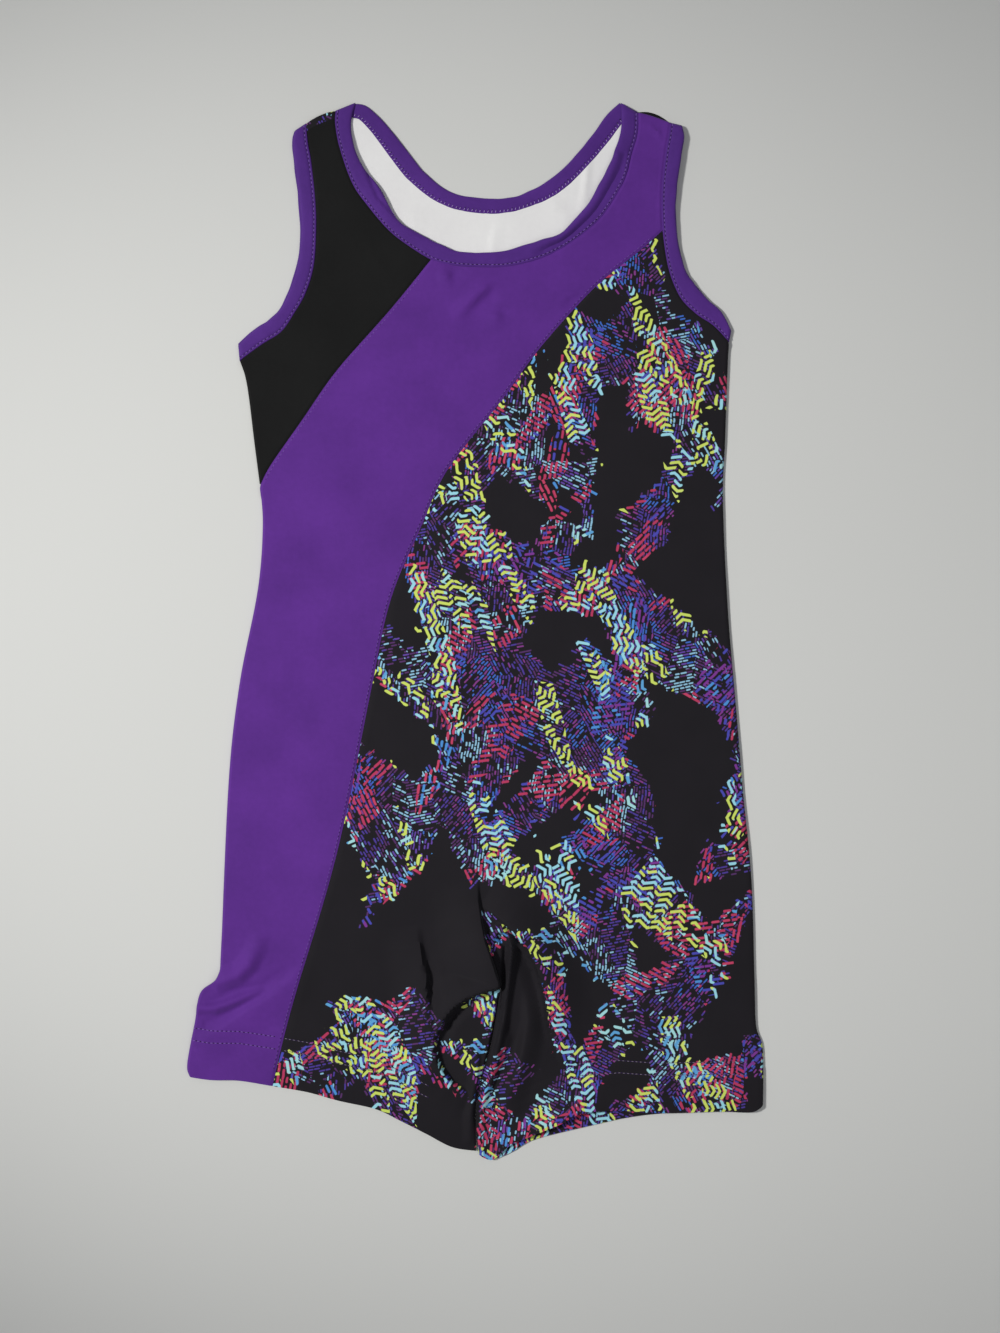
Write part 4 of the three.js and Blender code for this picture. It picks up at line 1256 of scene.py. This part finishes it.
def stitchRuns(name, runs, material, slant=0.0, size=1.0, pitch=stitches["pitch"]):
    # runs of (x, y, z) lines in mm; one small raised stitch every pitch, and between them a flat dark dot of
    # painted shade for the needle hole
    shape = stitchPoints * [stitches["length"] * size, stitches["width"] / 2 * size, stitches["height"]]
    hole = stitchPoints * [stitches["hole"], stitches["holeWidth"], stitches["holeHeight"]]
    points, faces, kinds = [], [], []
    for line in runs:
        lengths = np.concatenate([[0], np.cumsum(np.linalg.norm(np.diff(line, axis=0), axis=1))])
        places = np.arange(pitch * 0.5, lengths[-1] - 0.4 * pitch, pitch)
        places = places + rng.normal(0, stitches["uneven"], len(places))
        ahead = evenly(places + stitches["reach"], lengths, line)
        behind = evenly(places - stitches["reach"], lengths, line)
        for p, d in zip(evenly(places, lengths, line), ahead - behind):
            d = d / max(np.linalg.norm(d), 1e-9)
            turn = slant + rng.normal(0, stitches["askew"])
            c, s = math.cos(turn), math.sin(turn)
            d = np.array([d[0] * c - d[1] * s, d[0] * s + d[1] * c, d[2]])
            d /= np.linalg.norm(d)
            across = np.cross([0, 0, 1], d)
            across /= np.linalg.norm(across)
            up = np.cross(d, across)
            # kind 1 is the flat dot of painted needle-hole shade
            for form, at0, kind in ((shape, p, 0), (hole, p + d * pitch / 2, 1)):
                start = len(points) * len(shape)
                points.append(at0 + form[:, :1] * d + form[:, 1:2] * across + form[:, 2:] * up)
                faces += [[start + i for i in f] for f in stitchFaces]
                kinds += [kind] * len(stitchFaces)
    piece = newPiece(name, np.concatenate(points), faces, [material, thread["paintedHoleShade"]])
    piece.data.polygons.foreach_set("material_index", np.array(kinds, np.int32))
    facesOutwards(piece)
    finishMesh(piece, 70)
    return piece


def onFront(line, lift=0.02):
    return np.column_stack([line, frontHeight(line[:, 0], line[:, 1]) + lift])


def hemRun(x0, x1, above):
    x = np.linspace(x0, x1, 160)
    return onFront(np.column_stack([x, hemLine(x) + above]), 0.1)


armRuns = [stitchLines["armBindingLeftFront"], stitchLines["armBindingRightFront"]]
neckBackRun = stitchLines["neckBindingBack"] + [0, 0, 0.12]
hemRows = (hem["upperRow"], hem["lowerRow"])
bandRuns = [hemRun(-155, -108, row) for row in hemRows]
printRuns = [hemRun(x0, x1, row) for row in hemRows for x0, x1 in ((-105, -24), (48, 150))]
seamLines = [smoothLine(yokeSeam, 1.7)[4:-4], smoothLine(bandSeam, -1.5)[6:-4]]
seamRuns = [onFront(line, -0.05) for line in seamLines]
stitching = [
    # each row of stitches and the slot of the cloth it is on
    (stitchRuns("armStitches", armRuns, thread["threadLilac"]), "binding"),
    (stitchRuns("neckStitches", [stitchLines["neckBindingFront"]], thread["threadLilac"]), "binding"),
    (stitchRuns("neckBackStitches", [neckBackRun], thread["threadPale"], slant=1.25, pitch=2.2), "binding"),
    (stitchRuns("hemStitchesBand", bandRuns, thread["threadLilac"]), "purple_cloth"),
    (stitchRuns("hemStitchesPrint", printRuns, thread["threadGrey"]), "print_cloth"),
    (stitchRuns("seamStitches", seamRuns, thread["threadPurple"], size=0.8), "purple_cloth"),
]
print("stitching made")

# what each piece stands for

pieces = [
    (backPanel, "back_panel", "print_cloth"), (frontYoke, "front_yoke", "black_cloth"),
    (frontBand, "front_band", "purple_cloth"), (frontPrint, "front_print", "print_cloth"),
    (crotchLayers, "crotch_layers", "print_cloth"),
    (bindingPieces["neckBindingFront"], "neck_binding_front", "binding"),
    (bindingPieces["neckBindingBack"], "neck_binding_back", "binding"),
    (bindingPieces["armBindingLeftFront"], "arm_binding_left_front", "binding"),
    (bindingPieces["armBindingLeftBack"], "arm_binding_left_back", "binding"),
    (bindingPieces["armBindingRightFront"], "arm_binding_right_front", "binding"),
    (bindingPieces["armBindingRightBack"], "arm_binding_right_back", "binding"),
]
for piece, node, slotName in pieces:
    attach(piece, "root")
    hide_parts(node)
for piece, slotName in stitching:
    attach(piece, "root")

# floor, light and camera

stage = {
    "floorSize": 6.0, "floorColour": screen(206, 206, 203),
    "floorDark": 0.94,      # its darker clouds
    "worldColour": (0.93, 0.95, 1.0, 1), "worldStrength": 0.24,
    "photoLong": 733.0,     # mm that the picture's height covers
    "distance": 1.05,       # m from the floor to the camera
    "pixel": 0.55,          # mm
    "photoMiddle": (500, 666.5), "garmentMiddle": (475, 630.5),     # in the picture's pixels
    "sensor": 36,
}


def floorFinish():
    finish = Finish("floorPaint")
    place = finish.node("ShaderNodeTexCoord", None, None, "Object")
    cloud = finish.noise(place, 2.2, 2.0, 0.5)
    fine = finish.noise(place, 900.0, 2.0, 0.5)
    dim = tuple(c * stage["floorDark"] for c in stage["floorColour"])
    return finish.set(colour=finish.mix(cloud, dim, stage["floorColour"]), rough=0.6, specular=0.2,
                      normal=finish.bump(fine, 0.1, 0.00005))


bpy.ops.mesh.primitive_plane_add(size=stage["floorSize"], location=(0, 0, -0.0002))
floor = bpy.context.active_object
floor.name = "floor"
bpy.ops.object.transform_apply(location=True, rotation=True, scale=True)
floor.data.materials.append(floorFinish())

lights = {
    # a soft lamp at the upper left whose pool fades towards the corners, and a weak fill opposite
    "lamp": {"kind": "SPOT", "at": (-1.55, 0.25, 1.75), "to": (-0.03, -0.01, 0), "size": 0.16, "power": 212,
             "colour": (1.0, 1.0, 0.98), "cone": 29.5},
    "fill": {"kind": "AREA", "at": (1.2, -0.6, 2.2), "to": (0, 0, 0), "size": 2.0, "power": 9,
             "colour": (0.97, 0.985, 1.0)},
}
for name, spec in lights.items():
    lamp = bpy.data.lights.new(name, spec["kind"])
    lamp.energy = spec["power"]
    lamp.color = spec["colour"]
    if spec["kind"] == "SPOT":
        lamp.spot_size = math.radians(spec["cone"])
        lamp.spot_blend = 1.0
        lamp.shadow_soft_size = spec["size"]
    else:
        lamp.shape = "DISK"
        lamp.size = spec["size"]
    holder = bpy.data.objects.new(name, lamp)
    holder.location = spec["at"]
    holder.rotation_euler = (Vector(spec["to"]) - Vector(spec["at"])).to_track_quat("-Z", "Y").to_euler()
    bpy.context.scene.collection.objects.link(holder)

world = bpy.data.worlds.new("room")
world.use_nodes = True
sky = world.node_tree.nodes["Background"]
sky.inputs["Color"].default_value = stage["worldColour"]
sky.inputs["Strength"].default_value = stage["worldStrength"]
bpy.context.scene.world = world
bpy.context.scene.view_settings.view_transform = "Standard"

lens = bpy.data.cameras.new("camera")
lens.sensor_fit = "VERTICAL"
lens.sensor_height = stage["sensor"]
lens.lens = stage["sensor"] * stage["distance"] / (stage["photoLong"] * mm)
camera = bpy.data.objects.new("camera", lens)
middleX = (stage["photoMiddle"][0] - stage["garmentMiddle"][0]) * stage["pixel"]
middleY = (stage["garmentMiddle"][1] - stage["photoMiddle"][1]) * stage["pixel"]
camera.location = (middleX * mm, middleY * mm, stage["distance"])
bpy.context.scene.collection.objects.link(camera)
bpy.context.scene.camera = camera
print("floor, light and camera set")
